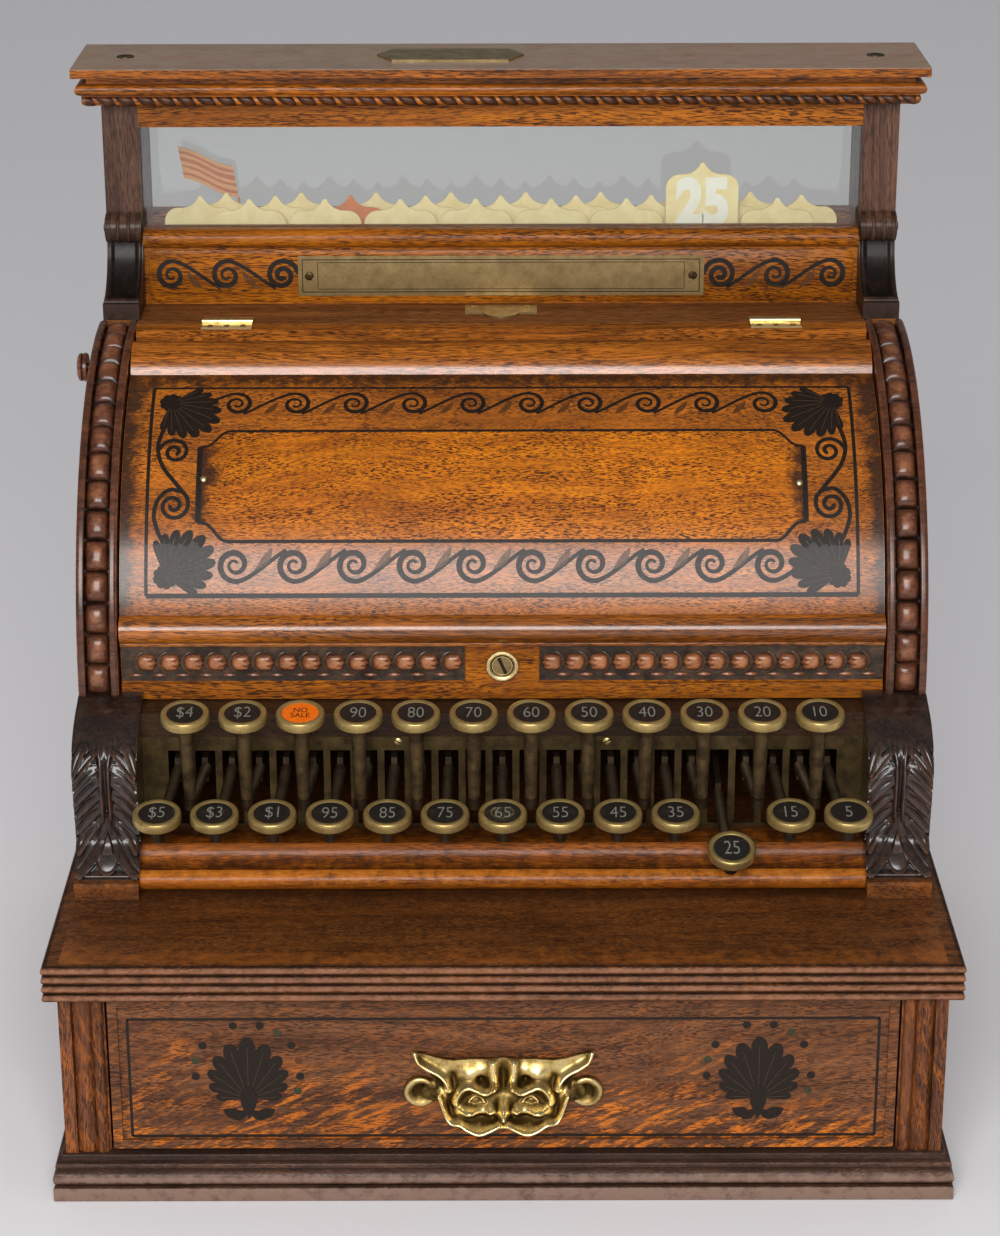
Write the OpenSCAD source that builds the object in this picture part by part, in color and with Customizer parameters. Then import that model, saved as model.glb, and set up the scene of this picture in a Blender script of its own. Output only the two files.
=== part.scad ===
// Antique oak cash register: drawer base, press-down keys, inlaid roll lid and indicator window.
// Millimetres, +Z up, front towards -Y, origin at the middle of the underside.

/* [Base] */
// Width of the base board
base_w = 480; // [460:1:520]
// Depth of the base board
base_d = 400; // [396:1:440]
// Height of the moulded plinth
plinth_h = 26; // [23:1:34]
// Clear height between the plinth and the base board
bay_h = 93; // [80:1:120]
// Thickness of the base board
board_t = 21; // [16:1:30]
// Depth of the moulded edge of the plinth, the base board and the cornice
edge_reach = 10; // [10:0.5:16]
// Inset of the drawer case from the edge of the base board
case_inset = 7; // [4:0.5:10]
// Thickness of the drawer case walls
wall_t = 12; // [8:0.5:14]
// Width of a corner pilaster
pilaster_w = 24; // [24:0.5:30]
// Thickness of a corner pilaster
pilaster_t = 12; // [9:0.5:16]

/* [Cabinet] */
// Width over the two arched ends
cab_w = 464; // [450:1:474]
// Distance from the base board's rear edge to the back of the cabinet
cab_back_inset = 5; // [3:0.5:10]
// Outer radius of the arches
arch_r = 166; // [160:1:168]
// Radial depth of an arch moulding
arch_t = 16; // [12:0.5:18]
// Width of an arch moulding
arch_w = 22; // [18:0.5:26]
// Number of carved beads on an arch
arch_beads = 15; // [9:1:17]
// Thickness of the cabinet cheeks behind the arches
cheek_t = 17; // [14:0.5:18]
// Height of the carved corbels
corbel_h = 96; // [92:1:110]
// Width of a carved corbel
corbel_w = 35; // [28:0.5:36]
// Projection of a corbel's foot in front of the arch
corbel_reach = 57; // [50:1:62]
// Height of the keybed moulding
keybed_h = 22; // [16:0.5:23]
// Projection of the keybed moulding in front of the key comb
keybed_reach = 38; // [34:0.5:44]
// Thickness of the boards at the back and behind the lid
rear_board_t = 12; // [8:0.5:14]

/* [Lid] */
// Radial step from the rim of an arch down to the lid panel
lid_drop = 7; // [4:0.5:12]
// Thickness of the lid panel
lid_t = 14; // [8:0.5:16]
// Running gap between the lid and its neighbours
lid_gap = 1; // [0.5:0.1:2]
// Distance from the arch centre forward to the hinge line
hinge_offset = 8.6; // [6:0.2:12]
// Radius of the upper half-round nosing
nosing_r = 18; // [14:0.5:20]
// Radius of the lower half-round nosing
lower_nosing_r = 8; // [6:0.5:9]
// Height of the carved rail at the foot of the lid
lid_rail_h = 32; // [28:0.5:34]
// Radius of the lock barrel
lock_r = 8.3; // [7:0.1:9]
// Radius of the turning lock plug
plug_r = 5.2; // [4:0.1:6]
// Length of a butt hinge
hinge_len = 29; // [20:1:40]
// Distance between the middles of the two hinges
hinge_spread = 315; // [240:1:340]

/* [Indicator] */
// Distance from the hinge line to the frieze
frieze_setback = 44.6; // [40:0.2:48]
// Depth of the indicator case
indicator_d = 57; // [52:0.5:58]
// Height of the frieze board
frieze_h = 34; // [30:0.5:44]
// Thickness of the frieze boards
frieze_t = 12; // [8:0.5:13]
// Height of the window sill
sill_h = 11; // [7:0.5:14]
// Clear height of the window
window_h = 60; // [50:1:76]
// Height of the window header
header_h = 15; // [10:0.5:18]
// Width of an indicator post
post_w = 21; // [16:0.5:22]
// Thickness of a window pane
pane_t = 2.5; // [2:0.1:3]
// Height of the cornice
cornice_h = 22; // [20.5:0.5:28]
// Overhang of the cornice past the posts
cornice_over = 14.5; // [12:0.5:18]
// Distance between the two screw holes in the cornice's top
sign_hole_spread = 434; // [380:1:440]
// Radius of a screw hole in the cornice's top
sign_hole_r = 2.2; // [1.5:0.1:3]

/* [Keys] */
// Distance between neighbouring key levers
lever_pitch = 14.8; // [14:0.1:15.2]
// Distance between neighbouring key caps of both rows
cap_pitch = 15.45; // [15:0.05:15.6]
// Diameter of a key cap
cap_d = 26; // [22:0.5:27]
// Thickness of a key cap
cap_t = 5; // [3.5:0.5:6]
// Forward tilt of the key caps
cap_tilt = 10; // [0:1:14]
// Height of the upper row's caps above the base board
upper_cap_z = 102; // [98:1:106]
// Height of the lower row's caps above the base board
lower_cap_z = 51; // [48:1:54]
// Distance of the upper row's caps in front of the key comb
upper_cap_reach = 28; // [24:1:32]
// Distance of the lower row's caps in front of the key comb
lower_cap_reach = 45; // [43:1:48]
// Thickness of a key lever
lever_t = 3.2; // [2:0.1:4]
// Radius of a key arm and stem
arm_r = 3; // [2:0.1:3.4]
// Height of the lever pivot above the base board
pivot_z = 60; // [58:0.5:62]
// Distance of the lever pivot behind the key comb
pivot_reach = 100; // [92:1:104]
// Radius of the lever pivot rod
pivot_r = 4; // [3:0.1:5]
// Angle through which a pressed key turns
press_deg = 9; // [6:0.5:9.5]
// Height of the key comb plate
comb_h = 54; // [52:0.5:58]
// Width of a slot in the key comb
slot_w = 11; // [8:0.5:11]

/* [Tablets] */
// Width of an indicator tablet
tablet_w = 42.6; // [36:0.1:43]
// Thickness of an indicator tablet
tablet_t = 1.2; // [0.8:0.1:2]
// Height of a lowered tablet's tip above the sill
tablet_show = 13; // [6:0.5:16]
// Distance between the three ranks of tablets
rank_pitch = 8; // [5:0.5:8]
// Radius of a tablet rod
rod_r = 1.5; // [1:0.1:1.8]

/* [Drawer] */
// Gap round the drawer front
drawer_gap = 1.5; // [1:0.1:3]
// Thickness of the drawer front
drawer_front_t = 18; // [14:0.5:22]
// Gap between the drawer box and the back of its case
drawer_rear_gap = 23; // [10:1:60]
// Height of the drawer box
drawer_box_h = 70; // [50:1:74]
// Thickness of the drawer boards and partitions
drawer_board_t = 8; // [5:0.5:10]
// Height of the drawer runners
runner_h = 3.7; // [2:0.1:5]
// Number of coin bays
coin_bays = 5; // [3:1:6]
// Number of note bays
note_bays = 4; // [2:1:5]
// Depth of the coin bays
coin_bay_d = 110; // [80:1:130]
// Half of the width over the drawer pull's horn tips
pull_half_w = 53; // [44:0.5:60]
// Height of the drawer pull
pull_h = 45; // [38:0.5:52]
// Projection of the drawer pull
pull_reach = 19; // [14:0.5:22]
// Wall of the drawer pull
pull_wall = 2.6; // [2:0.1:4]

/* [Side knob] */
// Radius of the side knob
knob_r = 8.3; // [6:0.1:9]
// Thickness of the side knob
knob_t = 6; // [4:0.5:9]
// Radius of the side knob's spindle
spindle_r = 2.5; // [2:0.1:3]

/* [Hidden] */
$fn = 48;
// Radial clearance of a shaft that turns in its hole
running = 0.05;
// Clearance between pieces that move past each other
slip = 0.3;
// Joint line left between pieces that are fastened together
seam = 0.05;
// A length that reaches past any piece
far = 2000;

front_y = -base_d / 2;
back_y = base_d / 2;
bay_z = plinth_h + bay_h;
board_z = bay_z + board_t;
case_hw = base_w / 2 - case_inset;
case_front_y = front_y + case_inset;
case_back_y = back_y - case_inset;
pilaster_in = case_hw - pilaster_w;

cab_hw = cab_w / 2;
indicator_back_y = back_y - cab_back_inset;
frieze_y = indicator_back_y - indicator_d;
hinge_y = frieze_y - frieze_setback;
arch_y = hinge_y + hinge_offset;
arch_front_y = arch_y - arch_r;
lid_r = arch_r - lid_drop;
lid_front_y = arch_y - lid_r;
arch_z = board_z + corbel_h;
arch_in_r = arch_r - arch_t;
top_z = arch_z + arch_r;
inner_hw = cab_hw - arch_w;
cheek_inset = 3;
cheek_out = cab_hw - cheek_inset;
cheek_in = cheek_out - cheek_t;
corbel_in = cab_hw - corbel_w;
corbel_back_y = lid_front_y - lid_gap;

knuckle_r = 1.8;
hinge_pin_r = 1;
leaf_t = 1.2;
leaf_d = 11;
hinge_z = top_z + knuckle_r;
lid_hw = inner_hw - lid_gap;
lid_foot_deg = 13;
lid_rear_deg = 86;
nosing_deg = 75.7;
lower_nosing_deg = 12.5;
nosing_sink = lid_r - 9;
lower_nosing_sink = lid_r - 1;
rail_z = arch_z - 6;
lid_rail_z = rail_z + lid_gap;
lock_z = lid_rail_z + 20;
lock_block_w = 40;

sill_z = top_z + frieze_h;
window_z = sill_z + sill_h;
header_z = window_z + window_h;
cornice_z = header_z + header_h;
post_out = cheek_out + 1;
post_in = post_out - post_w;
cornice_hw = post_out + cornice_over;
cornice_y = frieze_y - cornice_over - 4.5;
cornice_back_y = indicator_back_y + 2;

comb_y = arch_front_y - 11;
comb_t = 1.6;
comb_z = board_z + keybed_h;
comb_top_z = comb_z + comb_h;
pivot_y = comb_y + pivot_reach;
pivot_zz = board_z + pivot_z;
key_names = ["key_dollar_5", "key_dollar_4", "key_dollar_3", "key_dollar_2", "key_dollar_1", "key_no_sale",
             for (c = [95:-5:5]) str("key_", c)];
key_count = len(key_names);
key_middle = (key_count - 1) / 2;
pressed_key = 20;
blade_h = 14;
blade_boss_r = 11;
tail_h = 9;
tail_rise = 5;
tail_top_z = pivot_zz + tail_rise;
nose_y = comb_y - 3;
nose_z = pivot_zz - 9;
boss_r = arm_r + 0.6;
stem_r = arm_r - 0.2;
boss_h = 6;
socket_h = 6;

tablet_y = (frieze_y + frieze_t + indicator_back_y - frieze_t) / 2;
tail_end_y = tablet_y + rank_pitch + 4;
tablet_tip_z = window_z + tablet_show;
guide_t = 5;
guide_z = sill_z - 21;
tablet_foot_z = guide_z + guide_t + 1;
rod_foot_z = tail_top_z + slip;
function rank_of(k) = (k + 1) % 3;
function rank_y(k) = tablet_y + (rank_of(k) - 1) * rank_pitch;
function lever_x(k) = (k - key_middle) * lever_pitch;
function cap_x(k) = (k - key_middle) * cap_pitch;
function is_lower(k) = k % 2 == 0;
// Rise of a tail's top edge at a tablet's rod when the key is fully pressed
function tail_lift(k) = (rank_y(k) - pivot_y) * tan(press_deg) + tail_rise * (1 / cos(press_deg) - 1);

drawer_hw = pilaster_in - drawer_gap;
drawer_z = plinth_h + 2;
drawer_top_z = bay_z - drawer_gap;
drawer_face_y = case_front_y + 3;
drawer_back_y = drawer_face_y + drawer_front_t;
box_hw = drawer_hw - 1;
box_z = plinth_h + runner_h + slip;
box_end_y = case_back_y - wall_t - drawer_rear_gap;
drawer_len = box_end_y - drawer_back_y;
drawer_floor_z = box_z + 2;
drawer_floor_t = 5;
partition_z = drawer_floor_z + drawer_floor_t;
partition_h = 38;
coin_back_y = drawer_back_y + drawer_board_t + coin_bay_d;
cock_bead = 5;
cock_rise = 2;
pull_z = (drawer_z + drawer_top_z) / 2 - 6;
ear_r = 7.8;
ear_inset = 8.6;
ear_rise = 18.9;

knob_y = arch_y - 17;
knob_z = arch_z + arch_in_r - spindle_r - 4.5;
counter_reach = 87;
counter_rise = 54;
counter_y = arch_y - counter_reach;
counter_z = arch_z + counter_rise;
counter_shaft_r = 4;
wheel_r = 13;
wheel_w = 9;

oak = "peru";
dark_oak = "saddlebrown";
brass = "darkgoldenrod";
steel = "dimgray";

// A flat outline in Y and Z, carried along X from x0
module along_x(x0, length) {
  translate([x0, 0, 0]) rotate([90, 0, 90]) linear_extrude(length) children();
}

// An outline of radius and X turned about the arch centre, from phi0 to phi1 up from the front
module arch_band(phi0, phi1) {
  translate([0, arch_y, arch_z]) rotate([90, 0, 90]) rotate([0, 0, 180 - phi1])
    rotate_extrude(angle = phi1 - phi0, $fn = 96) children();
}

// A cylinder along X about the arch centre
module arch_drum(r) {
  translate([-far / 2, arch_y, arch_z]) rotate([0, 90, 0]) cylinder(h = far, r = r, $fn = 96);
}

// A round rod between two points
module rod(p, q, r) {
  d = q - p;
  translate(p) rotate([0, acos(d.z / norm(d)), atan2(d.y, d.x)]) cylinder(h = norm(d), r = r);
}

// A slab whose moulded edge runs round all four sides and is mitred at the corners
module edged_slab(w, d, h) {
  intersection() {
    rotate([90, 0, 0]) linear_extrude(d + 2, center = true) edged_section(w, h) children();
    rotate([90, 0, 90]) linear_extrude(w + 2, center = true) edged_section(d, h) children();
  }
}

// A slab's section between its two moulded edges
module edged_section(w, h) {
  translate([edge_reach - w / 2, 0]) square([w - 2 * edge_reach, h]);
  for (side = [0, 1]) mirror([side, 0]) translate([w / 2 - edge_reach, 0]) children();
}

// Mirrors a right-hand piece to the left as well
module pair() {
  children();
  mirror([1, 0, 0]) children();
}

// Triangles that close a ring of m points, as a fan from its first point
function fan(m) = [for (j = [1:m - 2]) [0, j, j + 1]];
// Triangles that close a thin ring of m points, as a strip between its two long sides
function strip(m) = [for (j = [0:m / 2 - 2]) each [[j, j + 1, m - 1 - j], [j + 1, m - 2 - j, m - 1 - j]]];
// Triangles of a closed loft through n rings of m points each, with the same cap at both ends
function loft_faces(n, m, cap) = [
  for (i = [0:n - 2], j = [0:m - 1]) let (k = (j + 1) % m) each
    [[i * m + j, (i + 1) * m + j, (i + 1) * m + k], [i * m + j, (i + 1) * m + k, i * m + k]],
  each cap,
  for (f = cap) [for (j = [2, 1, 0]) (n - 1) * m + f[j]]
];

module plinth_edge() {
  fascia = 8;
  torus_r = 4.6;
  bead_r = 1.9;
  core = edge_reach - torus_r;
  square([edge_reach, fascia]);
  square([core, plinth_h]);
  translate([core, fascia + 0.6 + torus_r]) circle(torus_r);
  translate([core + 1.2, fascia + 1.4 + 2 * torus_r + bead_r]) circle(bead_r);
}

module plinth() {
  color(dark_oak) edged_slab(base_w, base_d, plinth_h) plinth_edge();
}

module case_walls() {
  wall_front_y = case_front_y + pilaster_t;
  inner_hw_case = case_hw - wall_t - seam;
  runner_y = drawer_back_y + 1;
  runner_len = case_back_y - wall_t - seam - runner_y;
  runner_in = box_hw - drawer_board_t - 2;
  side_guide = box_hw + slip;
  guide_h = 12;
  color(dark_oak) {
    pair() translate([case_hw - wall_t, wall_front_y, plinth_h])
      cube([wall_t, case_back_y - wall_front_y, bay_h]);
    translate([-inner_hw_case, case_back_y - wall_t, plinth_h]) cube([2 * inner_hw_case, wall_t, bay_h]);
    pair() translate([0, runner_y, plinth_h]) {
      translate([runner_in, 0, 0]) cube([side_guide - seam - runner_in, runner_len, runner_h]);
      translate([side_guide, 0, 0]) cube([inner_hw_case - side_guide, runner_len, runner_h + guide_h]);
    }
  }
}

// A pilaster's plan: outer fillet, wide flat reed and inner bead on a backing strip
module pilaster_plan() {
  bead_r = 3.2;
  reed_r = 6.2;
  reed_sink = 3.6;
  fillet_w = 6.5;
  ground = 3.4;
  reed_x = (2 * bead_r + 1 + pilaster_w - fillet_w) / 2;
  translate([0, ground]) square([pilaster_w, pilaster_t - ground]);
  translate([pilaster_w - fillet_w, 0]) square([fillet_w, pilaster_t]);
  intersection() {
    translate([reed_x, ground + reed_sink]) circle(reed_r);
    square([pilaster_w, pilaster_t]);
  }
  translate([bead_r + 1, ground]) circle(bead_r);
}

module corner_pilasters() {
  color(dark_oak) pair() translate([pilaster_in, case_front_y, plinth_h])
    linear_extrude(bay_h) pilaster_plan();
}

module board_edge() {
  reeds = 4;
  pitch = board_t / reeds;
  reed_r = pitch / 2 - 0.25;
  square([edge_reach - reed_r, board_t]);
  for (i = [0:reeds - 1]) translate([edge_reach - reed_r, (i + 0.5) * pitch]) circle(reed_r);
}

module base_board() {
  color(dark_oak) translate([0, 0, bay_z]) edged_slab(base_w, base_d, board_t) board_edge();
}

// The keybed's section: torus at the foot, cove and top fillet
module keybed_section() {
  torus_r = 5.6;
  cove_r = keybed_h - 2 * torus_r;
  step = torus_r + cove_r;
  depth = keybed_reach + 8;
  translate([torus_r, torus_r]) circle(torus_r);
  translate([torus_r, 0]) square([depth - torus_r, 2 * torus_r]);
  difference() {
    translate([torus_r, 2 * torus_r - 1]) square([depth - torus_r, cove_r + 1]);
    translate([torus_r, 2 * torus_r + cove_r]) circle(cove_r - 0.4);
  }
  translate([step, 0]) square([depth - step, keybed_h]);
}

module keybed_moulding() {
  color(oak) along_x(-corbel_in, 2 * corbel_in) translate([comb_y - keybed_reach, board_z]) keybed_section();
}

// Front of a corbel, as reach in front of the arch, at a share t of its height above the foot
function corbel_front(t) = corbel_reach * lookup(t, [[0, 0.95], [0.08, 0.86], [0.2, 0.69], [0.34, 0.71],
  [0.52, 0.75], [0.68, 0.76], [0.8, 0.7], [0.88, 0.58], [0.95, 0.36], [1, 0.03]]);
// Relief of the carved leaf: a stem down the middle and lobes that slant away from it
function leaf_relief(t, v) = let (side = abs(v), lobe = abs(sin(180 * (4.6 * t + 1.1 * side))))
  2.2 * exp(-pow(v / 0.16, 2)) + 2.6 * lobe * (1 - exp(-pow(v / 0.2, 2))) * (1 - 0.5 * pow(side, 6));

module corbels() {
  foot_h = 9;
  rings = 30;
  across = 14;
  leaf_h = corbel_h - foot_h;
  points = [for (i = [0:rings - 1]) let (t = i / (rings - 1), z = board_z + foot_h + t * leaf_h, fade = sin(180 * t)) each [
    [corbel_in, corbel_back_y, z],
    for (j = [0:across]) let (v = 2 * j / across - 1)
      [corbel_in + corbel_w * j / across, arch_front_y - corbel_front(t) + 3 - fade * leaf_relief(t, v), z],
    [cab_hw, corbel_back_y, z]]];
  color("sienna") pair() {
    polyhedron(points, loft_faces(rings, across + 3, fan(across + 3)));
    translate([corbel_in, arch_front_y - corbel_reach, board_z])
      cube([corbel_w, corbel_back_y - arch_front_y + corbel_reach, foot_h]);
  }
}

// Outline of a cabinet cheek: straight front, quarter round under the arch, square back
module cheek_outline() {
  back = indicator_back_y;
  translate([corbel_back_y, board_z]) square([back - corbel_back_y, corbel_h]);
  intersection() {
    translate([arch_y, arch_z]) circle(arch_in_r, $fn = 96);
    translate([arch_y - arch_in_r, arch_z - 1]) square([arch_in_r, arch_in_r + 1]);
  }
  translate([arch_y, arch_z - 1]) square([back - arch_y, arch_r + 1]);
}

module cheeks() {
  bearing = counter_shaft_r + running;
  color(dark_oak) {
    difference() {
      pair() along_x(cheek_in, cheek_t) cheek_outline();
      translate([-cheek_in - cheek_t / 2, counter_y, counter_z]) rotate([0, 90, 0])
        cylinder(h = 2 * cheek_in + cheek_t, r = bearing);
      translate([-cab_hw, knob_y, knob_z]) rotate([0, 90, 0])
        cylinder(h = cab_hw - cheek_in + 1, r = spindle_r + running);
    }
  }
}

// Radial section of an arch: a trough between two fillets
module arch_section() {
  fillet_w = 4.5;
  trough = 3.5;
  translate([arch_in_r, inner_hw]) square([arch_t - trough, arch_w]);
  for (x = [inner_hw, cab_hw - fillet_w]) translate([arch_in_r, x]) square([arch_t, fillet_w]);
}

module arch_mouldings() {
  bead_r = 7.2;
  pitch = 90 / arch_beads;
  color("sienna") pair() {
    arch_band(0, 90) arch_section();
    intersection() {
      arch_band(0, 90) translate([arch_in_r, inner_hw]) square([arch_t + 4, arch_w]);
      for (i = [0:arch_beads - 1])
        translate([(inner_hw + cab_hw) / 2, arch_y, arch_z]) rotate([-(i + 0.5) * pitch, 0, 0])
          translate([0, -arch_r + bead_r - 0.8, 0]) sphere(bead_r);
    }
  }
}

module key_rail() {
  rail_d = 30;
  color(oak) along_x(-corbel_in, 2 * corbel_in) translate([comb_y, comb_top_z])
    square([rail_d, rail_z - comb_top_z]);
}

module rear_top_board() {
  color(dark_oak) translate([-inner_hw, hinge_y + slip, top_z - rear_board_t])
    cube([2 * inner_hw, frieze_y + frieze_t - hinge_y - slip, rear_board_t]);
}

module back_panel() {
  color(dark_oak) translate([-cheek_in, indicator_back_y - rear_board_t, board_z])
    cube([2 * cheek_in, rear_board_t, top_z - board_z]);
}

module frieze_boards() {
  color(oak) for (y = [frieze_y, indicator_back_y - frieze_t])
    translate([-post_in, y, top_z]) cube([2 * post_in, frieze_t, frieze_h]);
}

// Sill section with a half-round nose towards the outside
module sill_section() {
  translate([0, sill_h / 2]) circle(sill_h / 2);
  square([frieze_t, sill_h]);
}

module window_rails() {
  color(oak) for (face = [0, 1]) translate([0, face * (frieze_y + indicator_back_y), 0]) mirror([0, face, 0]) {
    along_x(-post_in, 2 * post_in) translate([frieze_y, sill_z]) sill_section();
    along_x(-post_in, 2 * post_in) translate([frieze_y, header_z]) square([frieze_t, header_h]);
  }
}

// Side view of a post: straight shaft, volute and a console that sweeps forward to its foot
module post_outline() {
  console_reach = frieze_setback - hinge_offset;
  volute_r = 8.5;
  console_h = frieze_h + 4;
  foot_h = 7;
  translate([frieze_y, top_z]) square([indicator_d, cornice_z - top_z]);
  translate([frieze_y - 2, top_z + console_h + volute_r]) circle(volute_r);
  difference() {
    translate([frieze_y - console_reach, top_z]) square([console_reach, console_h + volute_r]);
    translate([frieze_y - console_reach, top_z + foot_h + console_reach]) circle(console_reach - 2.5);
    translate([frieze_y - console_reach - 1, top_z + foot_h + console_reach]) square([console_reach - 1.5, console_h]);
  }
}

module indicator_posts() {
  color(dark_oak) pair() along_x(post_in, post_w) post_outline();
}

// Cornice edge from below: rope bead, torus, groove and top fascia
module cornice_edge() {
  rope_r = 2.8;
  torus_r = 3.2;
  fascia = 5.2;
  square([edge_reach - 8, cornice_h]);
  translate([edge_reach - 8, rope_r]) intersection() {
    circle(rope_r);
    translate([8 - edge_reach, -rope_r]) square(2 * rope_r + edge_reach);
  }
  translate([0, 2 * rope_r]) square([edge_reach - 5, 0.7 + 2 * torus_r]);
  translate([edge_reach - 5, 2 * rope_r + 0.7 + torus_r]) circle(torus_r);
  translate([0, cornice_h - fascia]) square([edge_reach, fascia]);
}

module cornice() {
  depth = cornice_back_y - cornice_y;
  hole_depth = 12;
  color(dark_oak) difference() {
    translate([0, cornice_y + depth / 2, cornice_z]) edged_slab(2 * cornice_hw, depth, cornice_h) cornice_edge();
    for (side = [-1, 1]) translate([side * sign_hole_spread / 2, cornice_y + depth / 2, cornice_z + cornice_h - hole_depth])
      cylinder(h = hole_depth + 1, r = sign_hole_r);
  }
}

module window_panes() {
  color("lightblue", 0.4) for (y = [frieze_y + frieze_t / 2, indicator_back_y - frieze_t / 2])
    translate([-post_in, y - pane_t / 2, window_z]) cube([2 * post_in, pane_t, window_h]);
}

module brass_plates() {
  plate_t = 1.2;
  name_w = 238;
  name_h = 24;
  deck_w = 42;
  deck_d = 16;
  tongue_r = 10;
  roof_w = 85;
  roof_d = 34;
  roof_x = -29;
  clip = 9;
  color(brass) {
    translate([-name_w / 2, frieze_y - plate_t, top_z + (frieze_h - name_h) / 2])
      cube([name_w, plate_t, name_h]);
    translate([0, frieze_y - 8, top_z]) linear_extrude(plate_t) {
      translate([-deck_w / 2, -deck_d]) square([deck_w, deck_d]);
      translate([0, -deck_d]) circle(tongue_r);
    }
    translate([roof_x, (cornice_y + cornice_back_y) / 2, cornice_z + cornice_h]) linear_extrude(plate_t) polygon([
      [-roof_w / 2 + clip, -roof_d / 2], [roof_w / 2 - clip, -roof_d / 2], [roof_w / 2, 0],
      [roof_w / 2 - clip, roof_d / 2], [-roof_w / 2 + clip, roof_d / 2], [-roof_w / 2, 0]]);
  }
}

module key_comb() {
  slot_h = comb_h - 10;
  color(brass) translate([0, comb_y + comb_t, comb_z]) rotate([90, 0, 0]) linear_extrude(comb_t) difference() {
    translate([-corbel_in, 0]) square([2 * corbel_in, comb_h]);
    for (k = [0:key_count - 1]) translate([lever_x(k) - slot_w / 2, 2]) square([slot_w, slot_h]);
  }
}

module key_pivot_rod() {
  color(steel) translate([-cheek_in, pivot_y, pivot_zz]) rotate([0, 90, 0]) cylinder(h = 2 * cheek_in, r = pivot_r);
}

// Flat lever: tapering front bar, round boss at the pivot and a straight tail
module lever_outline() {
  difference() {
    union() {
      polygon([[nose_y, nose_z], [nose_y, nose_z + blade_h], [pivot_y, pivot_zz + blade_boss_r - 2],
               [pivot_y, pivot_zz - blade_boss_r + 2]]);
      translate([pivot_y, pivot_zz]) circle(blade_boss_r);
      translate([pivot_y, tail_top_z - tail_h]) square([tail_end_y - pivot_y, tail_h]);
    }
    translate([pivot_y, pivot_zz]) circle(pivot_r + running);
  }
}

// One key at rest: lever, splayed arm with its boss, a stem on the upper row, and the cap on its socket
module key_raised(k) {
  lower = is_lower(k);
  reach = lower ? lower_cap_reach : upper_cap_reach;
  cap_top = [cap_x(k), comb_y - reach, board_z + (lower ? lower_cap_z : upper_cap_z)];
  stem_h = lower ? 0 : upper_cap_z - lower_cap_z - 7;
  boss_drop = cap_t + socket_h + stem_h;
  axis = [0, sin(cap_tilt), -cos(cap_tilt)];
  boss_top = cap_top + boss_drop * axis;
  arm_end = boss_top + boss_h / 2 * axis;
  nose = [lever_x(k), nose_y, nose_z + blade_h / 2];
  color(steel) {
    along_x(lever_x(k) - lever_t / 2, lever_t) lever_outline();
    union() {
      difference() {
        rod(nose + 0.2 * (nose - arm_end), arm_end, arm_r);
        translate([-far / 2, nose_y - seam, 0]) cube(far);
      }
      translate(boss_top) rotate([cap_tilt, 0, 0]) translate([0, 0, -boss_h]) cylinder(h = boss_h, r = boss_r);
    }
    if (!lower) translate(boss_top) rotate([cap_tilt, 0, 0]) translate([0, 0, seam])
      cylinder(h = stem_h - seam, r = stem_r);
  }
  color(brass) translate(boss_top) rotate([cap_tilt, 0, 0]) translate([0, 0, stem_h + seam]) {
    cylinder(h = socket_h - seam, r1 = boss_r, r2 = cap_d / 3);
    translate([0, 0, socket_h - seam]) cylinder(h = cap_t, r = cap_d / 2);
  }
}

module key(k) {
  if (k == pressed_key)
    translate([0, pivot_y, pivot_zz]) rotate([press_deg, 0, 0]) translate([0, -pivot_y, -pivot_zz]) key_raised(k);
  else
    key_raised(k);
}

module rod_guide() {
  guide_y = frieze_y + frieze_t;
  color(oak) difference() {
    translate([-post_in, guide_y, guide_z]) cube([2 * post_in, indicator_back_y - frieze_t - guide_y, guide_t]);
    for (k = [0:key_count - 1])
      translate([lever_x(k), rank_y(k), guide_z - 1]) cylinder(h = guide_t + 2, r = rod_r + slip);
  }
}

// Ogee-topped tablet outline: round shoulders that sweep in and up to a point
module tablet_outline(h) {
  shoulder = 8;
  sweep = 7;
  square([tablet_w, h - sweep - shoulder], center = false);
  translate([shoulder, h - sweep - shoulder]) circle(shoulder);
  translate([tablet_w - shoulder, h - sweep - shoulder]) circle(shoulder);
  translate([shoulder, h - sweep - shoulder]) square([tablet_w - 2 * shoulder, shoulder]);
  difference() {
    translate([tablet_w / 2 - 1.5 * sweep, h - sweep - 0.5]) square([3 * sweep, sweep + 0.5]);
    for (side = [-1, 1]) translate([tablet_w / 2 + side * 1.62 * sweep, h + 0.6 * sweep]) circle(1.6 * sweep);
  }
}

module tablet(k, lift, foot_z) {
  h = tablet_tip_z - tablet_foot_z;
  color("wheat") translate([lever_x(k), rank_y(k), lift]) {
    translate([-tablet_w / 2, tablet_t / 2, tablet_foot_z]) rotate([90, 0, 0]) linear_extrude(tablet_t) tablet_outline(h);
    translate([0, 0, foot_z]) cylinder(h = tablet_foot_z - foot_z, r = rod_r);
  }
}

// The lowered tablets are fixed, so their rods stop above their levers' full travel
module tablets() {
  for (k = [0:key_count - 1]) if (k != pressed_key) tablet(k, 0, rod_foot_z + tail_lift(k) + 1);
}

// The raised tablet's rod stands on the tail of its pressed lever
module tablet_25() {
  tablet(pressed_key, tail_lift(pressed_key) + 0.1, rod_foot_z);
}

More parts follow.
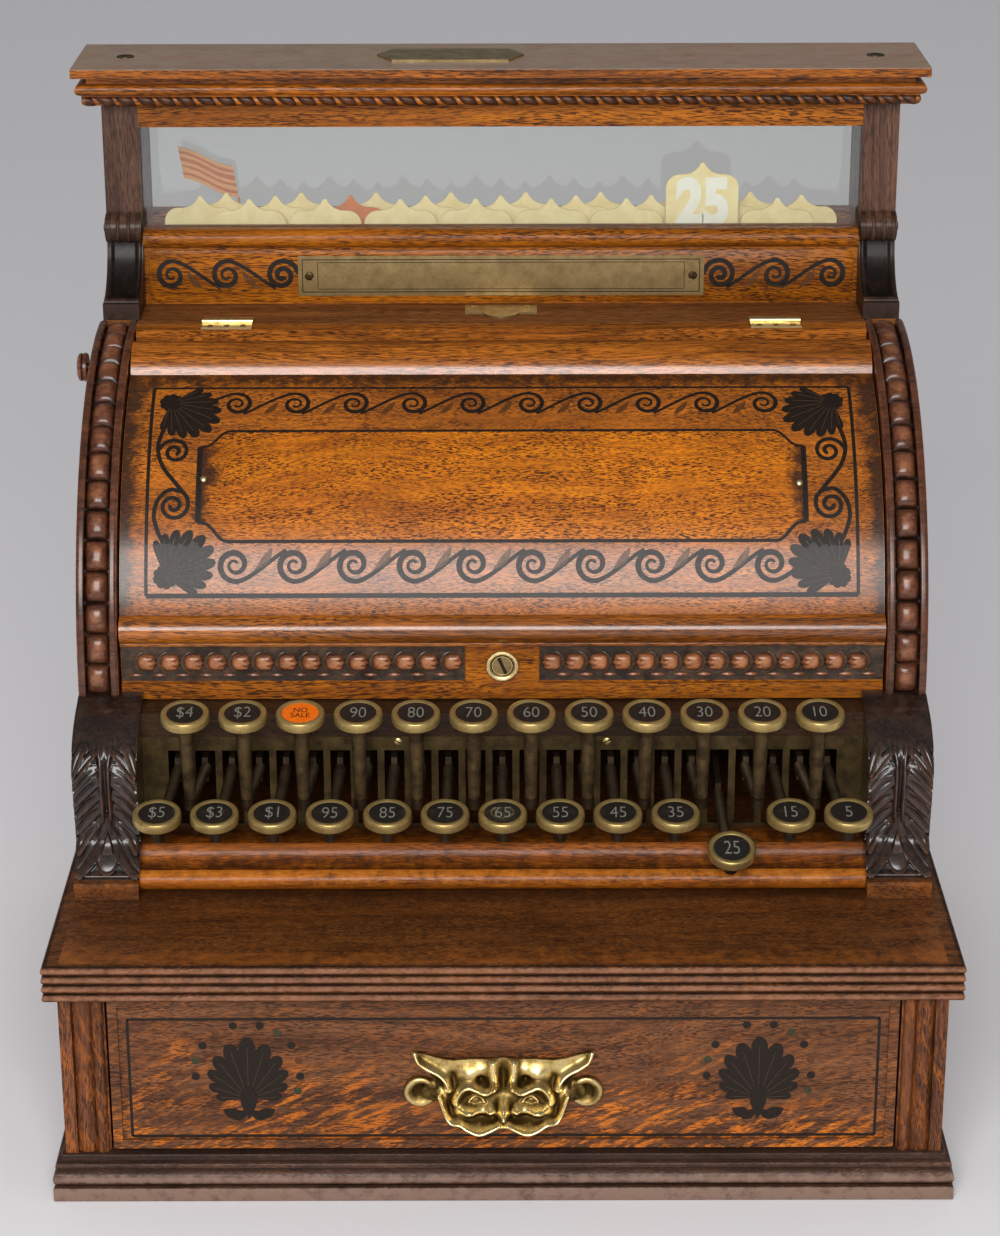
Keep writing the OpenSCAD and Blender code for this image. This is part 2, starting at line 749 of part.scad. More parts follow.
module signal_flag() {
  flag_w = 32;
  flag_h = 19;
  slant = 0.36;
  flag_t = 0.8;
  wire_r = 0.8;
  flag_x = -156;
  flag_y = indicator_back_y - frieze_t - 3;
  flag_z = window_z + 9;
  color("chocolate") {
    translate([flag_x, flag_y + flag_t / 2, flag_z]) rotate([90, 0, 0]) linear_extrude(flag_t)
      polygon([[0, 0], [-flag_w, slant * flag_w], [-flag_w - 3, slant * flag_w + flag_h], [-3, flag_h]]);
    translate([flag_x, flag_y, guide_z + guide_t])
      cylinder(h = flag_z - guide_z - guide_t, r = wire_r);
  }
}

module bell() {
  gong_r = 32;
  gong_h = 24;
  gong_t = 2;
  post_r = 4;
  stand_h = 12;
  bell_x = 118.4;
  bell_reach = 60;
  color(brass) translate([-bell_x, tablet_y - bell_reach, board_z]) rotate_extrude() {
    square([12, 3]);
    square([post_r, stand_h + gong_h - 1]);
    translate([0, stand_h]) intersection() {
      difference() {
        translate([0, gong_h - gong_r]) circle(gong_r, $fn = 96);
        translate([0, gong_h - gong_r]) circle(gong_r - gong_t, $fn = 96);
      }
      square([gong_r + 1, gong_h + 1]);
    }
  }
}

module counter_wheels() {
  end_x = cheek_in + cheek_t / 2 - slip;
  color(steel) translate([0, counter_y, counter_z]) rotate([0, 90, 0]) {
    translate([0, 0, -end_x]) cylinder(h = 2 * end_x, r = counter_shaft_r);
    for (k = [0:key_count - 1]) translate([0, 0, lever_x(k) - wheel_w / 2]) cylinder(h = wheel_w, r = wheel_r);
  }
}

// The three knuckles of a hinge share its length; the middle one turns with the lid
function knuckle_len() = hinge_len / 3;

module hinge_fixed_leaves() {
  color(brass) for (side = [-1, 1]) translate([side * hinge_spread / 2 - hinge_len / 2, hinge_y, hinge_z]) {
    rotate([0, 90, 0]) cylinder(h = hinge_len, r = hinge_pin_r);
    for (x = [0, 2 * knuckle_len() + slip]) {
      translate([x, 0, 0]) rotate([0, 90, 0]) cylinder(h = knuckle_len() - slip, r = knuckle_r);
      translate([x, 0, -knuckle_r]) cube([knuckle_len() - slip, knuckle_r + slip, leaf_t]);
    }
    translate([0, knuckle_r + slip, -knuckle_r]) cube([hinge_len, leaf_d - knuckle_r, leaf_t]);
  }
}

module lid_panel() {
  color(oak) arch_band(lid_foot_deg, lid_rear_deg)
    translate([lid_r - lid_t, -lid_hw]) square([lid_t, 2 * lid_hw]);
}

// A full-width rod about a point at radius r and angle phi on the lid
module lid_roll(r, phi, roll_r) {
  translate([-lid_hw, arch_y - r * cos(phi), arch_z + r * sin(phi)]) rotate([0, 90, 0])
    cylinder(h = 2 * lid_hw, r = roll_r);
}

module lid_nosings() {
  strip_d = 12;
  color(dark_oak) difference() {
    union() {
      lid_roll(nosing_sink, nosing_deg, nosing_r);
      lid_roll(lower_nosing_sink, lower_nosing_deg, lower_nosing_r);
      translate([-lid_hw, hinge_y - slip - strip_d, top_z - 12]) cube([2 * lid_hw, strip_d, 12]);
    }
    arch_drum(lid_r);
    along_x(-lid_hw - 1, 2 * lid_hw + 2) lid_rail_outline();
  }
}

// Side view of the lid's foot rail, closed against the panel's radial end
module lid_rail_outline() {
  front = lid_front_y;
  function at(r) = [arch_y - r * cos(lid_foot_deg), arch_z + r * sin(lid_foot_deg)];
  polygon([[front, lid_rail_z], [front + lid_t, lid_rail_z], at(lid_r - lid_t), at(lid_r),
           [front, lid_rail_z + lid_rail_h]]);
}

module lid_rail() {
  recess = 2;
  band_z = lid_rail_z + 9;
  band_h = 22;
  color(oak) difference() {
    along_x(-lid_hw, 2 * lid_hw) lid_rail_outline();
    for (side = [-1, 1]) translate([side > 0 ? lock_block_w / 2 : -lid_hw - 1, lid_front_y - 1, band_z])
      cube([lid_hw + 1 - lock_block_w / 2, recess + 1, band_h]);
    translate([0, lid_front_y - 1, lock_z]) rotate([-90, 0, 0]) cylinder(h = far, r = lock_r);
  }
}

module lid_hardware() {
  barrel_len = lid_t + 5;
  color(brass) {
    translate([0, lid_front_y - 2, lock_z]) rotate([-90, 0, 0]) difference() {
      cylinder(h = barrel_len, r = lock_r);
      translate([0, 0, -1]) cylinder(h = barrel_len + 2, r = plug_r + running);
    }
    for (side = [-1, 1]) translate([side * hinge_spread / 2 - hinge_len / 2, hinge_y, hinge_z]) difference() {
      union() {
        translate([knuckle_len(), 0, 0]) rotate([0, 90, 0]) cylinder(h = knuckle_len(), r = knuckle_r);
        translate([knuckle_len(), -knuckle_r - slip, -knuckle_r]) cube([knuckle_len(), knuckle_r + slip, leaf_t]);
        translate([0, -leaf_d, -knuckle_r]) cube([hinge_len, leaf_d - knuckle_r - slip, leaf_t]);
      }
      translate([-1, 0, 0]) rotate([0, 90, 0]) cylinder(h = hinge_len + 2, r = hinge_pin_r + running);
    }
  }
}

module lock_plug() {
  plug_len = lid_t + 6;
  cam_l = 28;
  cam_w = 7;
  cam_t = 2.5;
  key_slot = [1.6, 3, 2 * plug_r + 2];
  color(brass) translate([0, lid_front_y - 1.6, lock_z]) {
    difference() {
      rotate([-90, 0, 0]) cylinder(h = plug_len + slip, r = plug_r);
      rotate([0, -20, 0]) translate([-key_slot.x / 2, -1, -key_slot.z / 2]) cube([key_slot.x, key_slot.y, key_slot.z]);
    }
    translate([-cam_w / 2, plug_len + slip, -cam_w / 2]) cube([cam_l, cam_t, cam_w]);
  }
}

module drawer_front() {
  h = drawer_top_z - drawer_z;
  color(dark_oak) translate([-drawer_hw, drawer_face_y, drawer_z]) difference() {
    translate([0, -cock_rise, 0]) cube([2 * drawer_hw, drawer_front_t + cock_rise, h]);
    translate([cock_bead, -cock_rise - 1, cock_bead])
      cube([2 * (drawer_hw - cock_bead), cock_rise + 1, h - 2 * cock_bead]);
  }
}

module drawer_box() {
  t = drawer_board_t;
  inner = 2 * (box_hw - t - seam);
  coin_pitch = (2 * box_hw - t) / coin_bays;
  note_pitch = (2 * box_hw - t) / note_bays;
  coin_y = drawer_back_y + t + 2 * seam;
  note_y = coin_back_y + t + seam;
  wall_h = box_z + drawer_box_h - partition_z;
  color("tan") {
    pair() translate([box_hw - t, drawer_back_y + seam, box_z]) cube([t, drawer_len, drawer_box_h]);
    for (y = [drawer_back_y + seam, box_end_y - t]) translate([-inner / 2, y, partition_z]) cube([inner, t, wall_h]);
    translate([-inner / 2, drawer_back_y + seam, drawer_floor_z])
      cube([inner, drawer_len - seam, drawer_floor_t - seam]);
    translate([-inner / 2, coin_back_y, partition_z]) cube([inner, t, partition_h]);
    for (i = [1:coin_bays - 1]) translate([-box_hw + i * coin_pitch, coin_y, partition_z])
      cube([t, coin_back_y - seam - coin_y, partition_h]);
    for (i = [1:note_bays - 1]) translate([-box_hw + i * note_pitch, note_y, partition_z])
      cube([t, box_end_y - t - seam - note_y, partition_h]);
  }
}

// Mask pull, across u from -1 to 1 and up v from 0 to 1: a hollow grip with brow, nose, cheeks and horns
function pull_top(u) = pull_h * lookup(abs(u), [[0, 0.86], [0.45, 0.82], [0.75, 0.87], [1, 1]]);
function pull_foot(u) = pull_h * lookup(abs(u), [[0, 0.08], [0.28, 0], [0.55, 0.1], [0.655, 0.25], [0.685, 0.64], [1, 0.94]]);
function bump(d, w) = exp(-pow(d / w, 2));
function pull_rise(u, v) = let (x = abs(u) * pull_half_w)
  1.6 + (1 - pow(abs(u), 3)) * (0.24 + 0.62 * pow(1 - v, 1.2)) * pull_reach
  + 4.5 * bump(x, 4) * bump(v - 0.3, 0.17) + 3 * bump(v - 0.66 - 0.05 * cos(x * 14), 0.09) * bump(x, 30)
  - 2.6 * bump(x - 14, 6) * bump(v - 0.48, 0.1) + 2 * bump(x - 17, 6) * bump(v - 0.28, 0.12);

module drawer_pull() {
  across = 36;
  up = 12;
  ear_t = 3.5;
  points = [for (i = [0:across]) let (u = 2 * i / across - 1, foot = pull_foot(u), rise = pull_top(u) - foot) each [
    for (j = [0:up]) [u * pull_half_w, -max(0, pull_rise(u, j / up) - pull_wall), foot + rise * j / up],
    for (j = [up:-1:0]) [u * pull_half_w, -pull_rise(u, j / up), foot + rise * j / up]]];
  color(brass) translate([0, drawer_face_y, pull_z - pull_h / 2]) {
    polyhedron(points, loft_faces(across + 1, 2 * up + 2, strip(2 * up + 2)));
    pair() translate([pull_half_w - ear_inset, 0, ear_rise]) rotate([90, 0, 0]) difference() {
      cylinder(h = ear_t, r = ear_r);
      translate([0, 0, ear_t - 1.5]) cylinder(h = 2, r = ear_r / 3);
    }
  }
}

module side_knob() {
  color(dark_oak) translate([0, knob_y, knob_z]) rotate([0, 90, 0]) {
    translate([0, 0, -cab_hw - slip - knob_t]) cylinder(h = knob_t, r = knob_r);
    translate([0, 0, -cab_hw - slip]) cylinder(h = cab_hw + slip - cheek_in, r = spindle_r);
  }
}

plinth();
case_walls();
corner_pilasters();
base_board();
keybed_moulding();
corbels();
cheeks();
arch_mouldings();
key_rail();
rear_top_board();
back_panel();
frieze_boards();
window_rails();
indicator_posts();
cornice();
window_panes();
brass_plates();
key_comb();
key_pivot_rod();
rod_guide();
tablets();
tablet_25();
signal_flag();
bell();
counter_wheels();
hinge_fixed_leaves();
lid_panel();
lid_nosings();
lid_rail();
lid_hardware();
lock_plug();
drawer_front();
drawer_box();
drawer_pull();
side_knob();
for (k = [0:key_count - 1]) key(k);
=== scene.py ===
"""Looks of an antique inlaid oak cash register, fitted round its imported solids.

Lengths in the shape functions are millimetres in the part's own frame; build() turns them into metres.
A skin is (vertices, faces, relief): relief is 1 on rubbed crests and 0 in dirty hollows.
"""

import math

import bpy
import numpy as np
from mathutils import Matrix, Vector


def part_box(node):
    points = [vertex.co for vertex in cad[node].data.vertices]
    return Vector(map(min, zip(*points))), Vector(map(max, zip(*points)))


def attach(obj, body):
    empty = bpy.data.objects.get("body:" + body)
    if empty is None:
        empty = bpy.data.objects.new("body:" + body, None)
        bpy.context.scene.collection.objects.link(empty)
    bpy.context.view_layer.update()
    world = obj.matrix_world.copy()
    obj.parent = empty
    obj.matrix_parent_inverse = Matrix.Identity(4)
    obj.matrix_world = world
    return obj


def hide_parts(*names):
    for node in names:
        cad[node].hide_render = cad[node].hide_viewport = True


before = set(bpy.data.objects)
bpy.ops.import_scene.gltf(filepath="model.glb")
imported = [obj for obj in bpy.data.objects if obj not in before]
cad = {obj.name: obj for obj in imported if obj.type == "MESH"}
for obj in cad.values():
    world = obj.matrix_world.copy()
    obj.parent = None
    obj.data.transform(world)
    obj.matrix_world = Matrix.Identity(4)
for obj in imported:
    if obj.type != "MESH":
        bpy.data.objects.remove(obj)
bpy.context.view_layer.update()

MM = 0.001
TAU = 2 * math.pi
X_AXIS, Y_AXIS, Z_AXIS = np.eye(3)
FRONT = -Y_AXIS

BASE_W, BASE_D, BOARD_TOP_Z = 480.0, 400.0, 140.0
ARCH_Y, ARCH_Z, ARCH_R, ARCH_IN_R = 102.0, 236.0, 166.0, 150.0
ARCH_X0, ARCH_X1 = 210.0, 232.0
LID_R, LID_HALF_X = 159.0, 208.8
DRAWER_Y, FRIEZE_Y, RAIL_Y = -190.0, 138.0, -55.0
PANEL_RAISE, PLATE_RAISE = 0.9, 1.2
KEY_PIVOT = np.array([0.0, 25.0, 200.0])
PRESSED_KEY, PRESS_DEG = 20, 9.0


# Curves and profiles


def smooth(t):
    """Smooth step from 0 to 1: 3t^2 - 2t^3 on t held between 0 and 1."""
    t = np.clip(t, 0, 1)
    return t * t * (3 - 2 * t)


def bump(d, w):
    """Bell curve exp(-(d/w)^2)."""
    return np.exp(-((d / w) ** 2))


def spokes(a):
    """Unit vectors in a plane at the angles a, in radians."""
    return np.stack([np.cos(a), np.sin(a)], 1)


def arc(cx, cy, r, a0, a1, n):
    """n points of a circle about (cx, cy) from a0 to a1 degrees."""
    return np.array([cx, cy]) + r * spokes(np.radians(np.linspace(a0, a1, n)))


def joined(*pieces):
    """Points and lists of points put together to one list."""
    return np.concatenate([np.atleast_2d(np.asarray(p, float)) for p in pieces])


def bent(root, middle, tip, n=12):
    """Points of the parabola that leaves root towards middle and comes into tip from it."""
    t = np.linspace(0, 1, n)[:, None]
    root, middle, tip = (np.asarray(p, float) for p in (root, middle, tip))
    return root * (1 - t) ** 2 + 2 * middle * t * (1 - t) + tip * t**2


def through(points, steps=12):
    """A smooth path through a few points: cubic pieces whose slope at a point is half the way between its
    neighbours."""
    p = np.asarray(points, float)
    p = np.concatenate([[2 * p[0] - p[1]], p, [2 * p[-1] - p[-2]]])
    t = np.linspace(0, 1, steps, endpoint=False)[:, None]
    pieces = [(2 * b + (c - a) * t + (2 * a - 5 * b + 4 * c - d) * t**2 + (3 * b - a - 3 * c + d) * t**3) / 2
              for a, b, c, d in zip(p[:-3], p[1:-2], p[2:-1], p[3:])]
    return np.concatenate(pieces + [p[-2:-1]])


def along_line(x, z, points):
    """For each (x, z) the least distance to a chain of straight pieces, its share of the way along it, and the side
    it lies on: 1 to the left of the chain's direction, -1 to the right."""
    points = np.asarray(points, float)
    best, share, left = np.full(x.shape, 1e9), np.zeros(x.shape), np.ones(x.shape)
    for i, (a, b) in enumerate(zip(points[:-1], points[1:])):
        way = b - a
        t = np.clip(((x - a[0]) * way[0] + (z - a[1]) * way[1]) / (way @ way), 0, 1)
        d = np.hypot(x - a[0] - t * way[0], z - a[1] - t * way[1])
        share = np.where(d < best, (i + t) / (len(points) - 1), share)
        left = np.where(d < best, np.sign(way[0] * (z - a[1]) - way[1] * (x - a[0])), left)
        best = np.minimum(best, d)
    return best, share, left


def crest(height, cells):
    """How far each point of a grid stands above its surroundings: height minus its mean over a window."""
    kernel = np.ones(cells) / cells
    mean = np.pad(height, cells // 2, mode="edge")
    for axis in (0, 1):
        mean = np.apply_along_axis(np.convolve, axis, mean, kernel, mode="valid")
    return height - mean


# Mesh making


def skin(points, ring=False, caps=False, toward=None, relief=None):
    """Quads over a grid of points (rows, columns, 3). ring joins the last column to the first, caps close
    the first and last row. Faces look towards a given side, or else away from the middle."""
    rows, cols = points.shape[:2]
    verts = points.reshape(-1, 3)
    i, j = np.meshgrid(np.arange(rows - 1), np.arange(cols if ring else cols - 1), indexing="ij")
    k = (j + 1) % cols
    quads = np.stack([i * cols + j, (i + 1) * cols + j, (i + 1) * cols + k, i * cols + k], -1).reshape(-1, 4)
    corner = verts[quads]
    normal = np.cross(corner[:, 2] - corner[:, 0], corner[:, 3] - corner[:, 1])
    faces = quads.tolist()
    if caps:
        faces += [list(range(cols)), list(range(rows * cols - 1, (rows - 1) * cols - 1, -1))]
    if toward is None:
        side = np.einsum("ij,ij->", corner.mean(1) - verts.mean(0), normal)
    else:
        side = normal.sum(0) @ np.asarray(toward, float)
    if side < 0:
        faces = [f[::-1] for f in faces]
    level = np.full(len(verts), 0.5) if relief is None else np.asarray(relief, float).reshape(-1)
    return verts, faces, level


def mirrored(part):
    """The same skin on the other side of X = 0, with its faces turned back outwards."""
    verts, faces, level = part
    return verts * [-1, 1, 1], [f[::-1] for f in faces], level


def both(parts):
    """Skins of the right-hand side together with their mirror images."""
    return parts + [mirrored(p) for p in parts]


def new_object(name, data):
    """An object that holds some data, linked to the scene."""
    obj = bpy.data.objects.new(name, data)
    bpy.context.scene.collection.objects.link(obj)
    return obj


def build(name, skins, finish, body, replaces=(), sharp=38):
    """One piece made of several skins, with its relief attribute, riding on a body."""
    offsets = np.cumsum([0] + [len(s[0]) for s in skins])
    verts = np.concatenate([s[0] for s in skins]) * MM
    faces = [[v + int(o) for v in f] for s, o in zip(skins, offsets) for f in s[1]]
    mesh = bpy.data.meshes.new(name)
    mesh.from_pydata(verts.tolist(), [], faces)
    level = mesh.attributes.new("relief", "FLOAT", "POINT")
    level.data.foreach_set("value", np.concatenate([s[2] for s in skins]).astype(np.float32))
    mesh.shade_smooth()
    mesh.set_sharp_from_angle(angle=math.radians(sharp))
    mesh.materials.append(finish)
    obj = new_object(name, mesh)
    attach(obj, body)
    if replaces:
        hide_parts(*replaces)


def across(axis):
    """A unit axis and two unit vectors at right angles to it, the first as near to X as it can be."""
    axis = np.asarray(axis, float) / np.linalg.norm(axis)
    hint = X_AXIS if abs(axis[0]) < 0.9 else Y_AXIS
    e1 = hint - axis * (hint @ axis)
    e1 = e1 / np.linalg.norm(e1)
    return axis, e1, np.cross(axis, e1)


def turned(profile, centre, axis, count=40, relief=None, caps=True):
    """(radius, height) pairs turned about an axis: centre + r (cos a, sin a) + h along the axis. caps close it."""
    axis, e1, e2 = across(axis)
    a = np.arange(count) / count * TAU
    circle = np.cos(a)[:, None] * e1 + np.sin(a)[:, None] * e2
    r, h = np.asarray(profile, float).T
    points = np.asarray(centre, float) + r[:, None, None] * circle + (h[:, None] * axis)[:, None, :]
    level = None if relief is None else np.repeat(np.asarray(relief, float)[:, None], count, 1)
    return skin(points, ring=True, caps=caps, relief=level)


def run_x(profile, x0, x1, relief):
    """A closed outline of (y, z) pairs carried along X from x0 to x1."""
    profile = np.asarray(profile, float)
    points = np.zeros((2, len(profile), 3))
    points[..., 0] = [[x0], [x1]]
    points[..., 1:] = profile
    return skin(points, ring=True, caps=True, relief=np.repeat(np.asarray(relief, float)[None], 2, 0))


def mitred_slab(profile, w, d, reach, relief):
    """An edge outline of (outward, z) pairs carried round a rectangle w by d with mitred corners: at each z the
    section is a rectangle grown outwards from a core that lies reach inside the edge."""
    profile = np.asarray(profile, float)
    sign = np.array([[1, 1], [-1, 1], [-1, -1], [1, -1]])
    points = np.zeros((len(profile), 4, 3))
    points[..., :2] = sign * (np.array([w / 2 - reach, d / 2 - reach]) + profile[:, :1, None])
    points[..., 2] = profile[:, 1:]
    return skin(points, ring=True, caps=True, relief=np.repeat(np.asarray(relief)[:, None], 4, 1))


def tube(path, radius, sides, relief):
    """A round bar along a path: rings of the given radius at right angles to the path's direction."""
    path = np.asarray(path, float)
    along = np.gradient(path, axis=0)
    along /= np.linalg.norm(along, axis=1)[:, None]
    hint = X_AXIS if abs(along[:, 0]).mean() < 0.7 else Z_AXIS
    e1 = np.cross(along, hint)
    e1 /= np.linalg.norm(e1, axis=1)[:, None]
    e2 = np.cross(along, e1)
    a = np.arange(sides) / sides * TAU
    radius = np.broadcast_to(radius, len(path))[:, None, None]
    points = path[:, None] + radius * (np.cos(a)[:, None] * e1[:, None] + np.sin(a)[:, None] * e2[:, None])
    return skin(points, ring=True, caps=True, relief=np.full(points.shape[:2], relief))


# Shader making


def connect(tree, node, ins):
    """A node's inputs, each linked from another node's output or set to a constant."""
    for key, value in ins.items():
        if isinstance(value, bpy.types.NodeSocket):
            tree.links.new(value, node.inputs[key])
        else:
            node.inputs[key].default_value = value


def add(tree, kind, ins=None, out=0, **settings):
    """One shader node with its inputs and settings. Returns an output."""
    n = tree.nodes.new("ShaderNode" + kind)
    for key, value in settings.items():
        setattr(n, key, value)
    connect(tree, n, ins or {})
    return n.outputs[out]


def rgb(r, g, b):
    """A colour given as it looks on screen, 0 to 255, turned to linear light."""
    c = np.array([r, g, b]) / 255
    lin = np.where(c <= 0.04045, c / 12.92, ((c + 0.055) / 1.055) ** 2.4)
    return (*lin.tolist(), 1.0)


def mix(tree, factor, a, b):
    """Colour a turned towards colour b by a factor."""
    return add(tree, "Mix", {0: factor, 6: a, 7: b}, 2, data_type="RGBA")


def math_node(tree, operation, a, b=0.0, clamp=False):
    """One sum on one or two numbers, held between 0 and 1 where clamp is set."""
    return add(tree, "Math", {0: a, 1: b}, operation=operation, use_clamp=clamp)


def times(tree, a, b, clamp=False):
    """a times b."""
    return math_node(tree, "MULTIPLY", a, b, clamp)


def plus(tree, a, b, clamp=False):
    """a plus b."""
    return math_node(tree, "ADD", a, b, clamp)


def ramp(tree, value, low, high, to_low=0.0, to_high=1.0):
    """value carried from the range low..high to the range to_low..to_high, held at its ends."""
    return add(tree, "MapRange", {"Value": value, "From Min": low, "From Max": high, "To Min": to_low,
                                  "To Max": to_high})


def cloud(tree, vector, scale, detail, rough=0.5):
    """Noise that is alike in all directions, scale in features per metre."""
    return add(tree, "TexNoise", {"Vector": vector, "Scale": scale, "Detail": detail, "Roughness": rough})


def noise(tree, vector, scale, detail, rough=0.5):
    """Noise on coordinates stretched by a scale along each axis, in features per metre."""
    stretched = add(tree, "VectorMath", {0: vector, 1: scale}, operation="MULTIPLY")
    return cloud(tree, stretched, 1.0, detail, rough)


def group(name, inputs, outputs):
    """An empty node group with named sockets; returns the tree, its inputs by name and its output node."""
    tree = bpy.data.node_groups.new(name, "ShaderNodeTree")
    for label, kind in inputs.items():
        tree.interface.new_socket(label, in_out="INPUT", socket_type="NodeSocket" + kind)
    for label, kind in outputs.items():
        tree.interface.new_socket(label, in_out="OUTPUT", socket_type="NodeSocket" + kind)
    source = tree.nodes.new("NodeGroupInput")
    sink = tree.nodes.new("NodeGroupOutput")
    return tree, {label: source.outputs[label] for label in inputs}, sink


def place_group(tree, which, **ins):
    """A node group placed in a material; returns its outputs."""
    n = tree.nodes.new("ShaderNodeGroup")
    n.node_tree = which
    connect(tree, n, ins)
    return n.outputs


def oak_grain():
    """Oak with the grain along the vector's X: growth bands and streaks from stretched noise, short dark pore
    dashes, slanting ray flecks and broad blotches."""
    tree, g, sink = group("oak_grain", {"Vector": "Vector", "Light": "Color", "Dark": "Color", "Pore": "Color",
                                        "Ray": "Color", "Pores": "Float", "Rays": "Float"},
                          {"Color": "Color", "Height": "Float", "Dull": "Float"})
    wander = add(tree, "TexNoise", {"Vector": g["Vector"], "Scale": 11.0, "Detail": 1.0}, 1)
    shift = add(tree, "VectorMath", {0: wander, 1: (0.5, 0.5, 0.5)}, operation="SUBTRACT")
    shift = add(tree, "VectorMath", {0: shift, 1: (0.0, 0.024, 0.024)}, operation="MULTIPLY")
    p = add(tree, "VectorMath", {0: g["Vector"], 1: shift}, operation="ADD")
    bands = noise(tree, p, (5.0, 90.0, 90.0), 3.0, 0.6)
    streaks = noise(tree, p, (22.0, 560.0, 560.0), 3.0, 0.65)
    tone = plus(tree, times(tree, bands, 0.5), times(tree, streaks, 0.5))
    colour = mix(tree, ramp(tree, tone, 0.4, 0.6), g["Dark"], g["Light"])
    dash = ramp(tree, noise(tree, p, (300.0, 1900.0, 1900.0), 1.0, 0.6), 0.51, 0.57)
    thick = ramp(tree, noise(tree, p, (22.0, 110.0, 110.0), 1.0), 0.3, 0.55, 0.45, 1.0)
    pore = times(tree, times(tree, dash, thick), g["Pores"], True)
    slant = add(tree, "Mapping", {"Vector": g["Vector"], "Rotation": (0.0, 0.62, 0.0)})
    flare = noise(tree, slant, (75.0, 330.0, 330.0), 4.0, 0.7)
    ray = times(tree, ramp(tree, flare, 0.49, 0.58), g["Rays"], True)
    colour = mix(tree, ray, colour, g["Ray"])
    colour = mix(tree, pore, colour, g["Pore"])
    blotch = cloud(tree, g["Vector"], 16.0, 4.0, 0.65)
    shade = ramp(tree, blotch, 0.3, 0.7, 0.72, 1.15)
    colour = add(tree, "VectorMath", {0: colour, "Scale": shade}, operation="SCALE")
    height = math_node(tree, "SUBTRACT", times(tree, streaks, 0.4), pore)
    dull = plus(tree, times(tree, pore, 0.25), ramp(tree, blotch, 0.3, 0.7, 0.0, 0.12))
    connect(tree, sink, {"Color": colour, "Height": height, "Dull": dull})
    return tree


def rubbed_relief():
    """Dirt in the hollows and a rub on the crests of a carved or moulded piece, broken up by noise."""
    tree, g, sink = group("rubbed_relief", {"Vector": "Vector", "Relief": "Float", "Color": "Color", "Rub": "Color",
                                            "Dirt": "Color", "Rubbing": "Float", "Grime": "Float"},
                          {"Color": "Color"})
    patch = cloud(tree, g["Vector"], 120.0, 5.0, 0.7)
    level = plus(tree, g["Relief"], ramp(tree, patch, 0.25, 0.75, -0.3, 0.3))
    worn = times(tree, ramp(tree, level, 0.62, 1.0), g["Rubbing"], True)
    dirty = times(tree, ramp(tree, level, 0.42, 0.08), g["Grime"], True)
    colour = mix(tree, worn, g["Color"], g["Rub"])
    connect(tree, sink, {"Color": mix(tree, dirty, colour, g["Dirt"])})
    return tree


def aged_metal():
    """Old metal: bright where handled, dull brown film in patches, fine scratches and pits."""
    tree, g, sink = group("aged_metal", {"Vector": "Vector", "Bright": "Color", "Dull": "Color", "Film": "Color",
                                         "Relief": "Float", "Age": "Float"},
                          {"Color": "Color", "Rough": "Float", "Height": "Float"})
    patch = cloud(tree, g["Vector"], 130.0, 5.0, 0.65)
    spots = cloud(tree, g["Vector"], 700.0, 2.0)
    scratch = noise(tree, g["Vector"], (60.0, 1500.0, 2600.0), 2.0)
    level = plus(tree, g["Relief"], ramp(tree, patch, 0.3, 0.7, -0.2, 0.2))
    colour = mix(tree, ramp(tree, level, 0.3, 0.85), g["Dull"], g["Bright"])
    film = times(tree, ramp(tree, level, 0.42, 0.08), g["Age"], True)
    film = math_node(tree, "MAXIMUM", film, times(tree, ramp(tree, spots, 0.62, 0.72), 0.35))
    rough = plus(tree, ramp(tree, level, 0.2, 0.9, 0.52, 0.28), ramp(tree, scratch, 0.3, 0.7, -0.05, 0.05))
    height = plus(tree, scratch, times(tree, spots, -0.8))
    connect(tree, sink, {"Color": mix(tree, film, colour, g["Film"]), "Rough": rough, "Height": height})
    return tree


OAK_GRAIN, RUBBED, AGED = oak_grain(), rubbed_relief(), aged_metal()


def new_finish(name):
    """An empty material; returns it, its tree, its Principled BSDF and its Object coordinates."""
    material = bpy.data.materials.new(name)
    material.use_nodes = True
    tree = material.node_tree
    surface = tree.nodes["Principled BSDF"]
    place = add(tree, "TexCoord", out=3)
    return material, tree, surface, place


def relief_of(tree):
    """The piece's relief attribute."""
    return add(tree, "Attribute", {}, 2, attribute_name="relief")


def height_of(tree, place):
    """The Z of a place."""
    return add(tree, "SeparateXYZ", {0: place}, 2)


